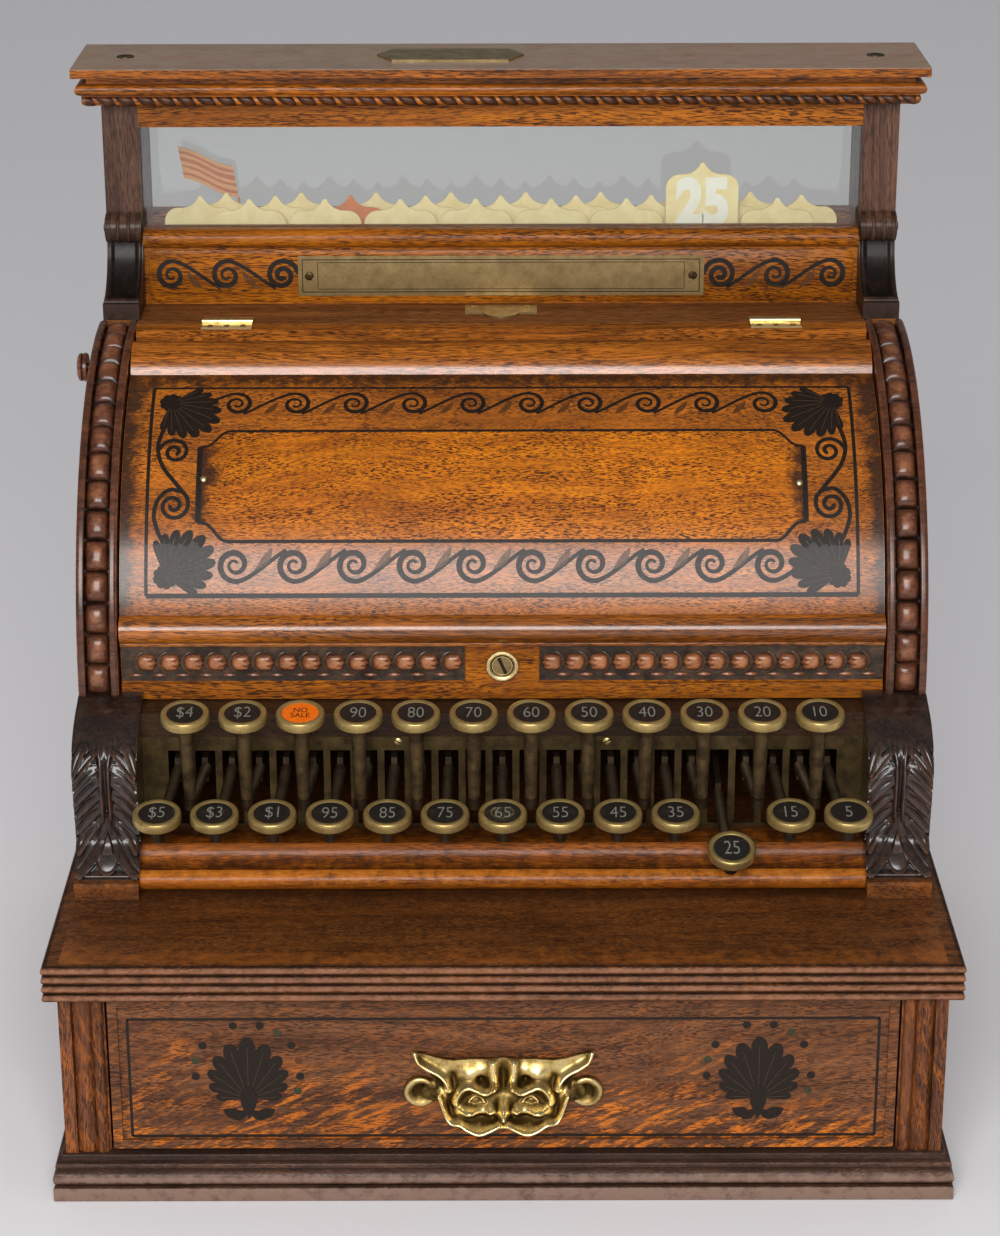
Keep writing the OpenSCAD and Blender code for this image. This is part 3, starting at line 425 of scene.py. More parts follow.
def wood(name, light, dark, pore, pores=0.8, rays=0.0, ray=None, upright=False, dull=0.34, coat=0.12, rub=None,
         rubbing=0.0, grime=0.0, darkening=(22, 13, 9), offset=0.0, depth=0.14, dust=None, ray_below=None,
         length=1.0, shade=None, matt_above=None):
    """Polished oak: the grain group, its dashes drawn out by length, with rubbed crests and dirt where the piece has
    relief. On faces to the sides the grain runs along Y. By height there may be dust, a darker shade in
    front of some y, no polish, or no ray flecks."""
    material, tree, surface, place = new_finish(name)
    turn = (0.0, math.pi / 2, 0.0) if upright else (0.0, 0.0, 0.0)
    vector = place
    if not upright:
        facing = add(tree, "SeparateXYZ", {"Vector": add(tree, "TexCoord", out=1)})
        lying = add(tree, "Mapping", {"Vector": place, "Rotation": (0.0, 0.0, math.pi / 2)})
        vector = mix(tree, ramp(tree, math_node(tree, "ABSOLUTE", facing, 0.0), 0.72, 0.78), place, lying)
    vector = add(tree, "Mapping", {"Vector": vector, "Rotation": turn, "Location": (offset, offset, offset),
                                   "Scale": (1.0, 1.0, 1 / length) if upright else (1 / length, 1.0, 1.0)})
    if ray_below:
        spread = cloud(tree, place, 22.0, 2.0)
        level = plus(tree, height_of(tree, place), ramp(tree, spread, 0.3, 0.7, -0.03, 0.03))
        rays = ramp(tree, level, ray_below[0] * MM, ray_below[1] * MM, rays, rays * 0.15)
    grain = place_group(tree, OAK_GRAIN, Vector=vector, Light=rgb(*light), Dark=rgb(*dark), Pore=rgb(*pore),
                        Ray=rgb(*(ray or light)), Pores=pores, Rays=rays)
    colour = grain["Color"]
    if rub:
        worn = place_group(tree, RUBBED, Vector=place, Relief=relief_of(tree), Color=colour, Rub=rgb(*rub),
                           Dirt=rgb(*darkening), Rubbing=rubbing, Grime=grime)
        colour = worn["Color"]
    if dust:
        speck = cloud(tree, place, 60.0, 5.0, 0.7)
        lying = ramp(tree, height_of(tree, place), (dust[0] - 0.5) * MM, dust[0] * MM)
        lying = times(tree, lying, ramp(tree, speck, 0.2, 0.6, 0.45, 0.85))
        colour = mix(tree, lying, colour, rgb(*dust[1]))
    if shade:
        low = ramp(tree, height_of(tree, place), shade[0] * MM, shade[1] * MM, 0.85, 0.0)
        y = add(tree, "SeparateXYZ", {"Vector": place}, 1)
        front = ramp(tree, y, shade[3] * MM, (shade[3] + 4) * MM, 1.0, 0.0)
        colour = mix(tree, times(tree, low, front), colour, rgb(*shade[2]))
    rough = plus(tree, grain["Dull"], dull)
    connect(tree, surface, {"Coat Weight": coat, "Coat Roughness": 0.22, "Specular IOR Level": 0.14})
    if matt_above:
        high = ramp(tree, height_of(tree, place), matt_above * MM, (matt_above + 2) * MM)
        rough = plus(tree, rough, times(tree, high, 0.3), True)
        connect(tree, surface, {"Coat Weight": ramp(tree, high, 0.0, 1.0, coat, 0.0)})
    bumped = add(tree, "Bump", {"Strength": 0.6, "Distance": depth * MM, "Height": grain["Height"]})
    connect(tree, surface, {"Base Color": colour, "Roughness": rough, "Normal": bumped})
    return material


def metal(name, bright, dull, film, age, level=None, shine=1.0):
    """Old brass or steel from the aged metal group, bright by the relief attribute or else evenly by a level."""
    material, tree, surface, place = new_finish(name)
    old = place_group(tree, AGED, Vector=place, Bright=rgb(*bright), Dull=rgb(*dull), Film=rgb(*film),
                      Relief=relief_of(tree) if level is None else level, Age=age)
    bumped = add(tree, "Bump", {"Strength": 0.35, "Distance": 0.05 * MM, "Height": old["Height"]})
    connect(tree, surface, {"Base Color": old["Color"], "Roughness": old["Rough"], "Metallic": shine,
                            "Normal": bumped})
    return material


def plain(name, colour, other, scale, rough=0.4, coat=0.0, depth=0.03, below=None):
    """A near-even finish: two close colours mixed by fine noise, which also roughens it a little; below a height it
    may have another colour."""
    material, tree, surface, place = new_finish(name)
    speck = cloud(tree, place, scale, 4.0, 0.6)
    shown = mix(tree, ramp(tree, speck, 0.3, 0.7), rgb(*colour), rgb(*other))
    if below:
        low = ramp(tree, height_of(tree, place), below[0] * MM, (below[0] + 0.5) * MM, 1.0, 0.0)
        shown = mix(tree, low, shown, rgb(*below[1]))
    bumped = add(tree, "Bump", {"Strength": 0.4, "Distance": depth * MM, "Height": speck})
    connect(tree, surface, {"Base Color": shown, "Roughness": ramp(tree, speck, 0.3, 0.7, rough - 0.06, rough + 0.1),
                            "Specular IOR Level": 0.2, "Coat Weight": coat, "Normal": bumped})
    return material


def window_glass():
    """Old clear glass with a faint grey tint and slow waves. Light that only passes on its way to other pieces
    goes straight through."""
    material, tree, surface, place = new_finish("window_glass")
    wave = cloud(tree, place, 18.0, 1.0)
    waved = add(tree, "Bump", {"Strength": 0.05, "Distance": MM, "Height": wave})
    connect(tree, surface, {"Base Color": rgb(240, 242, 240), "Roughness": 0.03, "IOR": 1.45,
                            "Transmission Weight": 1.0, "Normal": waved})
    path = tree.nodes.new("ShaderNodeLightPath")
    passing = math_node(tree, "MAXIMUM", path.outputs["Is Shadow Ray"], path.outputs["Is Diffuse Ray"])
    clear = add(tree, "BsdfTransparent", {"Color": rgb(236, 238, 236)})
    pane = add(tree, "MixShader", {0: passing, 1: surface.outputs[0], 2: clear})
    connect(tree, tree.nodes["Material Output"], {"Surface": pane})
    return material


oak_golden = wood("oak_golden", (202, 115, 5), (160, 83, 3), (58, 23, 3), 0.95, dull=0.42, coat=0.35,
                  rub=(190, 106, 14), grime=0.9, darkening=(44, 22, 10))
oak_lid = wood("oak_lid", (180, 100, 8), (132, 68, 4), (46, 20, 4), 0.95, dull=0.38, coat=0.6, rub=(176, 98, 22),
               rubbing=0.3, grime=0.9, darkening=(44, 24, 10), offset=0.3)
oak_orange = wood("oak_orange", (172, 98, 12), (122, 62, 6), (48, 22, 5), 0.9, dull=0.42, coat=0.15, offset=0.9,
                  length=2.2)
oak_worn = wood("oak_worn", (164, 88, 16), (116, 58, 8), (52, 23, 6), 0.7, dull=0.38, coat=0.2, rub=(204, 122, 40),
                rubbing=0.7, grime=0.8, length=2.4, darkening=(42, 20, 6), offset=1.3)
oak_nosing = wood("oak_nosing", (186, 106, 28), (118, 62, 12), (44, 21, 6), 0.85, dull=0.32, coat=1.0, offset=1.6,
                  length=2.4, matt_above=392)
oak_brown = wood("oak_brown", (154, 94, 46), (110, 63, 26), (56, 30, 12), 0.75, dull=0.55, coat=0.0, offset=1.9,
                 length=2.4)
oak_dark = wood("oak_dark", (70, 44, 20), (44, 26, 11), (24, 13, 6), 0.6, dull=0.4, coat=0.1, offset=2.0)
oak_cornice = wood("oak_cornice", (170, 94, 14), (104, 52, 6), (44, 20, 5), 0.85, dull=0.36, coat=0.3, offset=2.1,
                   dust=(543.9, (152, 132, 114)), length=2.4)
oak_board = wood("oak_board", (112, 64, 28), (78, 43, 17), (40, 21, 9), 0.75, 0.3, (138, 78, 34), dull=0.4, coat=0.1,
                 rub=(150, 104, 78), rubbing=0.7, grime=0.8, offset=2.3)
oak_top = wood("oak_top", (110, 62, 24), (76, 40, 14), (40, 20, 7), 0.8, 0.35, (132, 74, 28), dull=0.4, coat=0.2,
               rub=(158, 88, 30), rubbing=0.55, grime=0.6, darkening=(40, 23, 10), offset=2.5)
oak_plinth = wood("oak_plinth", (96, 66, 50), (64, 42, 31), (36, 23, 17), 0.7, dull=0.42, coat=0.1,
                  rub=(138, 112, 98), rubbing=0.75, grime=0.6, darkening=(40, 28, 22), offset=2.6)
oak_upright = wood("oak_upright", (120, 70, 40), (76, 41, 21), (36, 18, 9), 0.75, 0.45, (172, 94, 28), upright=True,
                   dull=0.36, coat=0.25, offset=2.9, length=2.0)
oak_post = wood("oak_post", (104, 72, 54), (72, 47, 35), (36, 22, 15), 0.7, upright=True, dull=0.36, coat=0.2,
                offset=3.2, length=2.5, shade=(448, 456, (40, 26, 19), 139))
oak_drawer = wood("oak_drawer", (118, 74, 44), (80, 45, 24), (40, 20, 10), 0.8, 0.95, (198, 108, 28), dull=0.38,
                  coat=0.2, offset=3.6, ray_below=(40, 76), length=1.5)
oak_red = wood("oak_red", (110, 62, 38), (68, 37, 21), (32, 16, 10), 0.5, dull=0.28, coat=0.6, rub=(164, 104, 68),
               rubbing=0.6, grime=0.9, darkening=(22, 13, 8), offset=4.2)
oak_bud = wood("oak_bud", (150, 88, 52), (104, 60, 36), (48, 28, 17), 0.5, dull=0.3, coat=0.6, rub=(196, 132, 88),
               rubbing=0.6, grime=0.9, darkening=(34, 23, 17), offset=4.4)
oak_ground = wood("oak_ground", (92, 68, 50), (62, 46, 34), (34, 24, 18), 0.4, dull=0.36, coat=0.3, rub=(104, 82, 66),
                  rubbing=0.5, grime=0.9, darkening=(26, 20, 16), offset=4.5)
oak_cord = wood("oak_cord", (72, 36, 12), (42, 21, 7), (20, 10, 4), 0.5, dull=0.36, coat=0.2, rub=(122, 68, 26),
                rubbing=0.5, grime=0.95, darkening=(14, 8, 4), offset=4.6)
walnut_carved = wood("walnut_carved", (58, 38, 28), (30, 19, 13), (14, 9, 6), 0.4, upright=True, dull=0.24, coat=0.9,
                     rub=(96, 70, 56), rubbing=0.5, grime=0.95, darkening=(8, 5, 4), offset=5.1)
walnut_dark = wood("walnut_dark", (52, 34, 25), (32, 21, 15), (16, 10, 7), 0.4, upright=True, dull=0.4, coat=0.15,
                   rub=(98, 66, 48), rubbing=0.6, grime=0.9, darkening=(14, 10, 8), offset=5.6)
pine = wood("pine_inside", (206, 160, 100), (172, 122, 70), (120, 80, 44), 0.3, dull=0.5, coat=0.0, offset=6.0)
inlay_black = plain("inlay_black", (22, 15, 10), (34, 23, 15), 700.0, 0.42, 0.1)
inlay_leaf = plain("inlay_leaf", (96, 54, 16), (70, 38, 11), 600.0, 0.42, 0.2)
inlay_green = plain("inlay_green", (58, 58, 34), (44, 42, 24), 600.0, 0.45, 0.1)
inlay_vein = plain("inlay_vein", (78, 58, 40), (58, 42, 28), 600.0, 0.45, 0.1)
brass = metal("brass_old", (252, 228, 164), (176, 146, 84), (56, 40, 16), 0.95)
brass_rim = metal("brass_rim", (206, 180, 116), (152, 126, 72), (70, 54, 28), 0.7, 0.62, 0.8)
brass_plate = metal("brass_plate", (164, 140, 94), (112, 90, 54), (62, 46, 25), 0.5, 0.6, 0.75)
brass_bright = metal("brass_bright", (236, 216, 160), (184, 158, 102), (84, 62, 34), 0.4, 0.75)
brass_dark = metal("brass_dark", (104, 86, 50), (66, 52, 29), (34, 25, 13), 0.9, 0.42, 0.8)
brass_stem = metal("brass_stem", (126, 104, 68), (70, 55, 35), (32, 24, 15), 1.0, 0.42, 0.6)
steel = metal("steel_brown", (108, 90, 68), (66, 53, 39), (30, 24, 17), 0.8, 0.45, 0.85)
cap_black = plain("cap_black", (22, 20, 18), (36, 33, 30), 900.0, 0.32, 0.3)
cap_orange = plain("cap_orange", (232, 112, 14), (214, 92, 8), 500.0, 0.36, 0.2)
numeral_pale = plain("numeral_pale", (132, 130, 118), (96, 94, 84), 900.0, 0.55)
numeral_dark = plain("numeral_dark", (64, 30, 10), (44, 22, 10), 900.0, 0.55)
tablet_cream = plain("tablet_cream", (250, 232, 176), (238, 212, 146), 120.0, 0.5, 0.05, below=(402, (88, 82, 74)))
tablet_white = plain("tablet_white", (252, 248, 236), (244, 238, 220), 200.0, 0.5)
tablet_orange = plain("tablet_orange", (218, 124, 56), (200, 106, 44), 160.0, 0.5)
glass = window_glass()

# Inlay on the lid, the drawer front and the frieze


def on_lid(uv, h):
    """(X, arc length up the lid) and a height to a point: angle = arc length / radius about the lid's centre."""
    phi = uv[:, 1] / LID_R
    r = LID_R + h
    return np.stack([uv[:, 0], ARCH_Y - r * np.cos(phi), ARCH_Z + r * np.sin(phi)], 1)


def on_wall(y):
    """The way from (X, Z) and a height to a point in front of the upright plane at y."""
    return lambda uv, h: np.stack([uv[:, 0], np.full(len(uv), y - h), uv[:, 1]], 1)


on_drawer, on_frieze, on_plate = on_wall(DRAWER_Y), on_wall(FRIEZE_Y - PANEL_RAISE), on_wall(FRIEZE_Y - PLATE_RAISE)


def strip(path, width, where, lift=0.16, sink=-0.3):
    """A let-in strip: the path's two edges, half the width to each side, raised by lift and closed below."""
    path = np.asarray(path, float)
    along = np.gradient(path, axis=0)
    side = np.stack([-along[:, 1], along[:, 0]], 1) / np.linalg.norm(along, axis=1)[:, None]
    half = side * np.broadcast_to(width, len(path))[:, None] / 2
    edges = [where(path + half, sink), where(path + half, lift), where(path - half, lift), where(path - half, sink)]
    return skin(np.stack(edges, 1), ring=True, caps=True)


def leaf(root, tip, width, where, full=1.0, bow=0.0, lift=0.16):
    """A leaf from root to tip: width sin(pi t^full), its middle line bowed sideways by sin(pi t)."""
    root, tip = np.asarray(root, float), np.asarray(tip, float)
    t = np.linspace(0.015, 0.985, 16)[:, None]
    way = tip - root
    side = np.array([-way[1], way[0]]) / np.linalg.norm(way)
    mid = root + way * t + bow * side * np.sin(np.pi * t)
    return strip(mid, width * np.sin(np.pi * t[:, 0] ** full) + 0.05, where, lift)


def petal(root, tip, width, where, lift):
    """A petal from root to tip: its width grows evenly for 0.8 of the way and ends in a half circle."""
    root, tip = np.asarray(root, float), np.asarray(tip, float)
    cap = np.sin(np.linspace(0, math.pi / 2, 9))
    t = np.concatenate([np.linspace(0.02, 0.8, 8)[:-1], 0.8 + 0.195 * cap])
    w = np.where(t < 0.8, t / 0.8, np.sqrt(np.clip(1 - ((t - 0.8) / 0.2) ** 2, 0, 1)))
    return strip(root + (tip - root) * t[:, None], width * w, where, lift)


def coil(c, r0, r1, start, turns, steps=64):
    """A clockwise spiral about c from radius r0 at the start angle to r1, shrinking a little faster at first."""
    w = np.linspace(0, 1, steps)
    a = math.radians(start) - TAU * turns * w
    return np.asarray(c) + (r1 + (r0 - r1) * (1 - w) ** 1.15)[:, None] * spokes(a)


def scroll_row(count, c0, pitch, r, width, where, half_turn=False, turns=1.7):
    """A row of running scrolls: each stem leaves the lower right of the scroll before it, rises in an S over the
    top of the next and winds in clockwise. half_turn turns each scroll by 180 degrees about its centre."""
    t = np.linspace(0, 1, 18)[:-1, None]
    leave, enter = math.radians(-62), math.radians(100)
    p0 = r * np.array([math.cos(leave), math.sin(leave)]) - [pitch, 0]
    p1 = r * np.array([math.cos(enter), math.sin(enter)])
    m0 = np.array([-math.sin(leave), math.cos(leave)]) * pitch * 0.85
    m1 = np.array([math.sin(enter), -math.cos(enter)]) * pitch * 0.75
    stem = ((2 * t**3 - 3 * t**2 + 1) * p0 + (t**3 - 2 * t**2 + t) * m0 + (3 * t**2 - 2 * t**3) * p1
            + (t**3 - t**2) * m1)
    path = np.concatenate([stem, coil((0, 0), r, 0.17 * r, 100, turns)])
    w = np.linspace(0, 1, len(path))
    share = 0.7 + 0.45 * np.sin(np.pi * smooth(w / 0.85)) - 0.18 * w
    if half_turn:
        path = -path
    return [strip(path + np.asarray(c0) + [pitch * k, 0], width * share, where) for k in range(count)]


def palmette(root, heading, reach, spread, petals, where, droop):
    """A fan of round-ended petals from one root, turning evenly through the spread; a petal at share s of the half
    spread is shortened by droop s^1.3. Thin veins lie on it."""
    root = np.asarray(root, float)
    share = np.linspace(-1, 1, petals)
    angle = np.radians(heading + share * spread / 2)
    length = reach * (1 - droop * np.abs(share) ** 1.3)
    tips = root + length[:, None] * spokes(angle)
    width = 2.05 * 0.8 * length * math.tan(math.radians(spread / (petals - 1) / 2))
    fan = [petal(root, tip, w, where, 0.2 + 0.012 * i) for i, (tip, w) in enumerate(zip(tips, width))]
    veins = [strip(np.linspace(root + way * 0.2, root + way * 0.84, 3), 0.3, where, 0.42) for way in tips - root]
    return fan, veins


def rectangle_lines(x, low, high, widths, where):
    """Four straight strips round a field; widths are for the top, the bottom and the sides."""
    over, up = np.linspace(-x, x, 60), np.linspace(low, high, 40)
    rows = [np.stack([over, np.full_like(over, v)], 1) for v in (high, low)]
    posts = [np.stack([np.full_like(up, u), up], 1) for u in (-x, x)]
    return [strip(p, w, where) for p, w in zip(rows + posts, (*widths, widths[2]))]


CART_X, CART_LOW, CART_HIGH, CART_NOTCH_X, CART_NOTCH = 166.5, 83.1, 149.6, 18.6, 10.5


def cartouche_edge(x):
    """Arc lengths of the cartouche's lower and upper edge at X: an S-shaped notch at each corner."""
    notch = CART_NOTCH * (1 - smooth(smooth((CART_X - np.abs(x)) / CART_NOTCH_X)))
    return CART_LOW + notch, CART_HIGH - notch


def side_scrolls():
    """The left end of the lid's border: a stem from the upper palmette that passes one coil and runs in an S into
    the next, whose top sends a branch down to the lower palmette."""
    stem = through([(-182.7, 160.5), (-187.6, 150), (-189.8, 138), (-186.5, 126.5), (-178, 115), (-172.5, 108)])
    lower = np.concatenate([stem, coil((-180.2, 103.4), 8.4, 1.5, 22, 1.6)])
    upper = np.concatenate([[(-189.6, 137.2)], coil((-180.4, 136), 8.4, 1.5, 158, 1.65)])
    branch = through([(-175.8, 111.5), (-182.5, 112.6), (-188.6, 106.8), (-190.6, 98), (-188.6, 89.5), (-185.2, 82)])
    return [strip(lower, 2.3, on_lid), strip(upper, 2.2, on_lid), strip(branch, 2.3, on_lid)]


def lid_inlay():
    """Scroll rows, corner palmettes, border lines and the cartouche of the lid."""
    pitch = 32.6
    black = rectangle_lines(194.5, 53.3, 182.0, (1.5, 2.7, 1.9), on_lid)
    black += scroll_row(10, (-147.5, 169.2), pitch, 8.3, 2.3, on_lid)
    black += scroll_row(10, (-146.0, 70.2), pitch, 9.2, 3.1, on_lid, half_turn=True)
    brown, light = [], []
    for k in range(10):
        top, foot = np.array([-147.5 + pitch * k, 169.2]), np.array([-146.0 + pitch * k, 70.2])
        brown.append(leaf(top + [-9.5, 2.0], top + [-17.5, -7.5], 3.4, on_lid, 1.2, 0.8))
        brown.append(leaf(foot + [10.5, -3.0], foot + [20.5, 9.5], 4.2, on_lid, 1.1, -1.2))
    black += both(side_scrolls())
    for side in (-1, 1):
        for s, heading in ((170.0, -34), (64.0, 38)):
            facing = heading if side < 0 else 180 - heading
            fan, veins = palmette((side * 184.5, s), facing, 32, 132, 10, on_lid, 0.36)
            black += fan + palmette((side * 183.5, s), facing + 180, 7.5, 190, 6, on_lid, 0.1)[0]
            light += veins
    x = np.linspace(-CART_X, CART_X, 160)
    low, high = cartouche_edge(x)
    black += [strip(np.stack([x, low], 1), 1.9, on_lid), strip(np.stack([x, high], 1), 1.5, on_lid)]
    s = np.linspace(low[0], high[0], 24)
    black += [strip(np.stack([np.full_like(s, e), s], 1), 3.0, on_lid) for e in (-CART_X, CART_X)]
    build("lid_inlay_black", black, inlay_black, "lid")
    build("lid_inlay_leaves", brown, inlay_leaf, "lid")
    build("lid_inlay_veins", light, inlay_vein, "lid")


def lid_field():
    """The cartouche's brighter veneer: columns across X between the two notched edges, smoky at both ends; round it
    the border's veneer, darker towards the lid's ends and towards its top under the nosing."""
    x = np.linspace(-CART_X, CART_X, 241)
    low, high = cartouche_edge(x)
    v = np.linspace(0, 1, 60)[:, None]
    s = low + (high - low) * v
    uv = np.stack([np.broadcast_to(x, s.shape), s], -1)
    points = on_lid(uv.reshape(-1, 2), 0.1).reshape(*s.shape, 3)
    reach = 7 + 9 * bump(v - 0.58, 0.12) + 5 * bump(v - 0.88, 0.1) + 3 * bump(v - 0.25, 0.1)
    edge = np.minimum(np.minimum(s - low, high - s), 6) / 6
    smoke = np.maximum(bump(CART_X - np.abs(x), reach), 0.75 * (1 - edge) ** 2)
    build("lid_field", [skin(points, toward=FRONT, relief=0.8 - 0.8 * smoke)], oak_golden, "lid")
    x = np.linspace(-LID_HALF_X, LID_HALF_X, 181)
    s = np.linspace(LID_R * math.radians(14.5), LID_R * math.radians(74), 90)[:, None] + 0 * x
    uv = np.stack([np.broadcast_to(x, s.shape), s], -1)
    points = on_lid(uv.reshape(-1, 2), 0.05).reshape(*s.shape, 3)
    # The border's veneer is darker towards the lid's ends beside the arches and towards its top under the nosing
    darkening = np.maximum(bump(LID_HALF_X - np.abs(x), 7.0 + 0.06 * (s - 40)), 0.9 * smooth((s - 172) / 20))
    build("lid_border", [skin(points, toward=FRONT, relief=0.75 - 0.75 * darkening)], oak_lid, "lid")


def drawer_inlay():
    """Line frame, two fan palmettes on winged stems, and the arcs of dots round them."""
    black = rectangle_lines(197.5, 34.5, 104.5, (1.5, 1.5, 1.5), on_drawer)
    light, dots = [], [[], [], [], []]
    dot = [[2.2, -0.2], [2.2, 0.12], [1.9, 0.2], [0.02, 0.22]]
    for side in (-1, 1):
        root = np.array([side * 135.0, 57.0])
        fan, veins = palmette(root, 90, 36.5, 172, 11, on_drawer, 0.52)
        black += fan
        light += veins
        black.append(leaf(root + [0, 8], root + [0, -12.5], 9, on_drawer, 0.7, 0, 0.5))
        for wing in (-1, 1):
            black.append(leaf(root + [0, -9], root + [wing * 13.8, -6.5], 6, on_drawer, 1.4, wing * -1.5, 0.45))
            black.append(leaf(root + [0, -7], root + [wing * 8.5, -12.5], 5, on_drawer, 1.2, 0, 0.4))
        lean = np.radians(13 + 19 * np.arange(6))
        angle = np.concatenate([math.pi / 2 + lean, math.pi / 2 - lean])
        r = 27.5 + 4 * np.clip(np.sin(angle), 0, 1)
        spots = np.array([side * 135.0, 70.0]) + r[:, None] * spokes(angle)
        for i, (u, v) in enumerate(spots):
            dots[i % 4].append(turned(dot, (u, DRAWER_Y, v), FRONT, 16))
    build("drawer_inlay_black", black, inlay_black, "drawer")
    build("drawer_inlay_veins", light, inlay_vein, "drawer")
    build("drawer_dots_dark", dots[0] + dots[2], inlay_black, "drawer")
    build("drawer_dots_brown", dots[1], inlay_leaf, "drawer")
    build("drawer_dots_green", dots[3], inlay_green, "drawer")


def frieze_panel():
    """The raised frieze panel with rounded corners, and three running scrolls at each end of it."""
    hw, low, high, r = 206.5, 403.2, 434.4, 6.0
    corners = [(hw - r, high - r, 0), (-hw + r, high - r, 90), (-hw + r, low + r, 180), (hw - r, low + r, 270)]
    outline = np.concatenate([arc(x, z, r, a, a + 90, 9) for x, z, a in corners])
    centre = np.array([0, (low + high) / 2])
    rings = [(outline, 0.0), (outline, 0.5), (centre + (outline - centre) * [0.9975, 0.968], PANEL_RAISE)]
    points = np.stack([on_wall(FRIEZE_Y)(o, h) for o, h in rings])
    build("frieze_panel", [skin(points, ring=True, caps=True)], oak_orange, "cabinet")
    first, pitch, r, z = 128.4, 32.4, 8.7, 419.4
    rise = through([(118.5, z + 1), (122, z + 6.6), (first - 1.5, z + r)])
    start = np.concatenate([rise, coil((first, z), r, 1.4, 98, 1.7)])
    black = [strip(start, 2.9, on_frieze)] + scroll_row(3, (first, z), pitch, r, 2.9, on_frieze)[1:]
    brown = [leaf((first - 9 + pitch * k, z + 3), (first - 18 + pitch * k, z - 8), 3.8, on_frieze, 1.1, 0.9)
             for k in (1, 2)]
    build("frieze_inlay_black", both(black), inlay_black, "cabinet")
    build("frieze_inlay_leaves", both(brown), inlay_leaf, "cabinet")


# Carving


def arch_carving():
    """A quarter ring of section: two fillets and a trough of long beads. Bead height is
    (1 - |x|^2.3)^0.5 (1 - |s|^2.8)^0.5 across and along each bead."""
    beads, per_bead, cols = 15, 18, 45
    phi = np.linspace(0, math.pi / 2, beads * per_bead + 1)[:, None]
    half_w = (ARCH_X1 - ARCH_X0) / 2
    from_mid = np.linspace(-1, 1, cols)[None] * half_w
    trough = smooth((np.abs(from_mid) - 6.4) / 0.7)
    edge = smooth((half_w - np.abs(from_mid)) / 1.4)
    s = 2 * ((phi / (math.pi / 2) * beads) % 1.0) - 1
    bead = np.clip(1 - np.abs(from_mid / 6.2) ** 2.3, 0, 1) ** 0.5 * np.clip(1 - np.abs(s / 0.96) ** 2.8, 0, 1) ** 0.5
    height = -4.2 * (1 - trough) + 4.9 * bead * (1 - trough) - 0.9 * (1 - edge)
    r = ARCH_R + height
    rows = phi.shape[0]
    outer = np.stack([np.broadcast_to((ARCH_X0 + ARCH_X1) / 2 + from_mid, r.shape), ARCH_Y - r * np.cos(phi),
                      ARCH_Z + r * np.sin(phi)], -1)
    inner = np.stack([np.broadcast_to([ARCH_X1, ARCH_X0], (rows, 2)),
                      np.broadcast_to(ARCH_Y - ARCH_IN_R * np.cos(phi), (rows, 2)),
                      np.broadcast_to(ARCH_Z + ARCH_IN_R * np.sin(phi), (rows, 2))], -1)
    rub = np.where(trough > 0.5, 0.72 - 0.34 * edge, 0.02 + 0.8 * bead**1.4)
    level = np.concatenate([np.broadcast_to(rub, r.shape), np.full((rows, 2), 0.4)], 1)
    right = skin(np.concatenate([outer, inner], 1), ring=True, caps=True, relief=level)
    build("arch_carving", both([right]), oak_red, "cabinet", ("arch_mouldings",))


CORBEL_X0, CORBEL_X1, CORBEL_FOOT_Z, CORBEL_TOP_Z = 197.0, 232.0, 149.0, 236.0
CORBEL_BACK_Y, CORBEL_CORE_Y, CORBEL_REACH, LEAF_STRETCH = -58.0, -61.4, 57.0, 1.07
CORBEL_CURVE = np.array([(0, 0.95), (0.08, 0.86), (0.2, 0.69), (0.34, 0.71), (0.52, 0.75), (0.68, 0.76), (0.8, 0.7),
                         (0.88, 0.58), (0.95, 0.36), (1, 0.03)])


def carved_lobe(a, b, root, middle, tip, half, high):
    """A leaf lobe along a bent line: it swells and rises towards its tip and from its upper to its lower edge, where
    it drops off sharply on to the next."""
    d, t, left = along_line(a, b, bent(root, middle, tip))
    q = -left * d / (half * (0.45 + 0.55 * np.sin(np.pi * np.clip(0.1 + 0.72 * t, 0, 1))))
    edge = smooth((1 - np.abs(q)) / 0.22)
    return high * (0.35 + 0.65 * t) * (0.62 + 0.38 * q) * edge - 0.5 * bump(q, 0.16) * edge * smooth(t / 0.3)


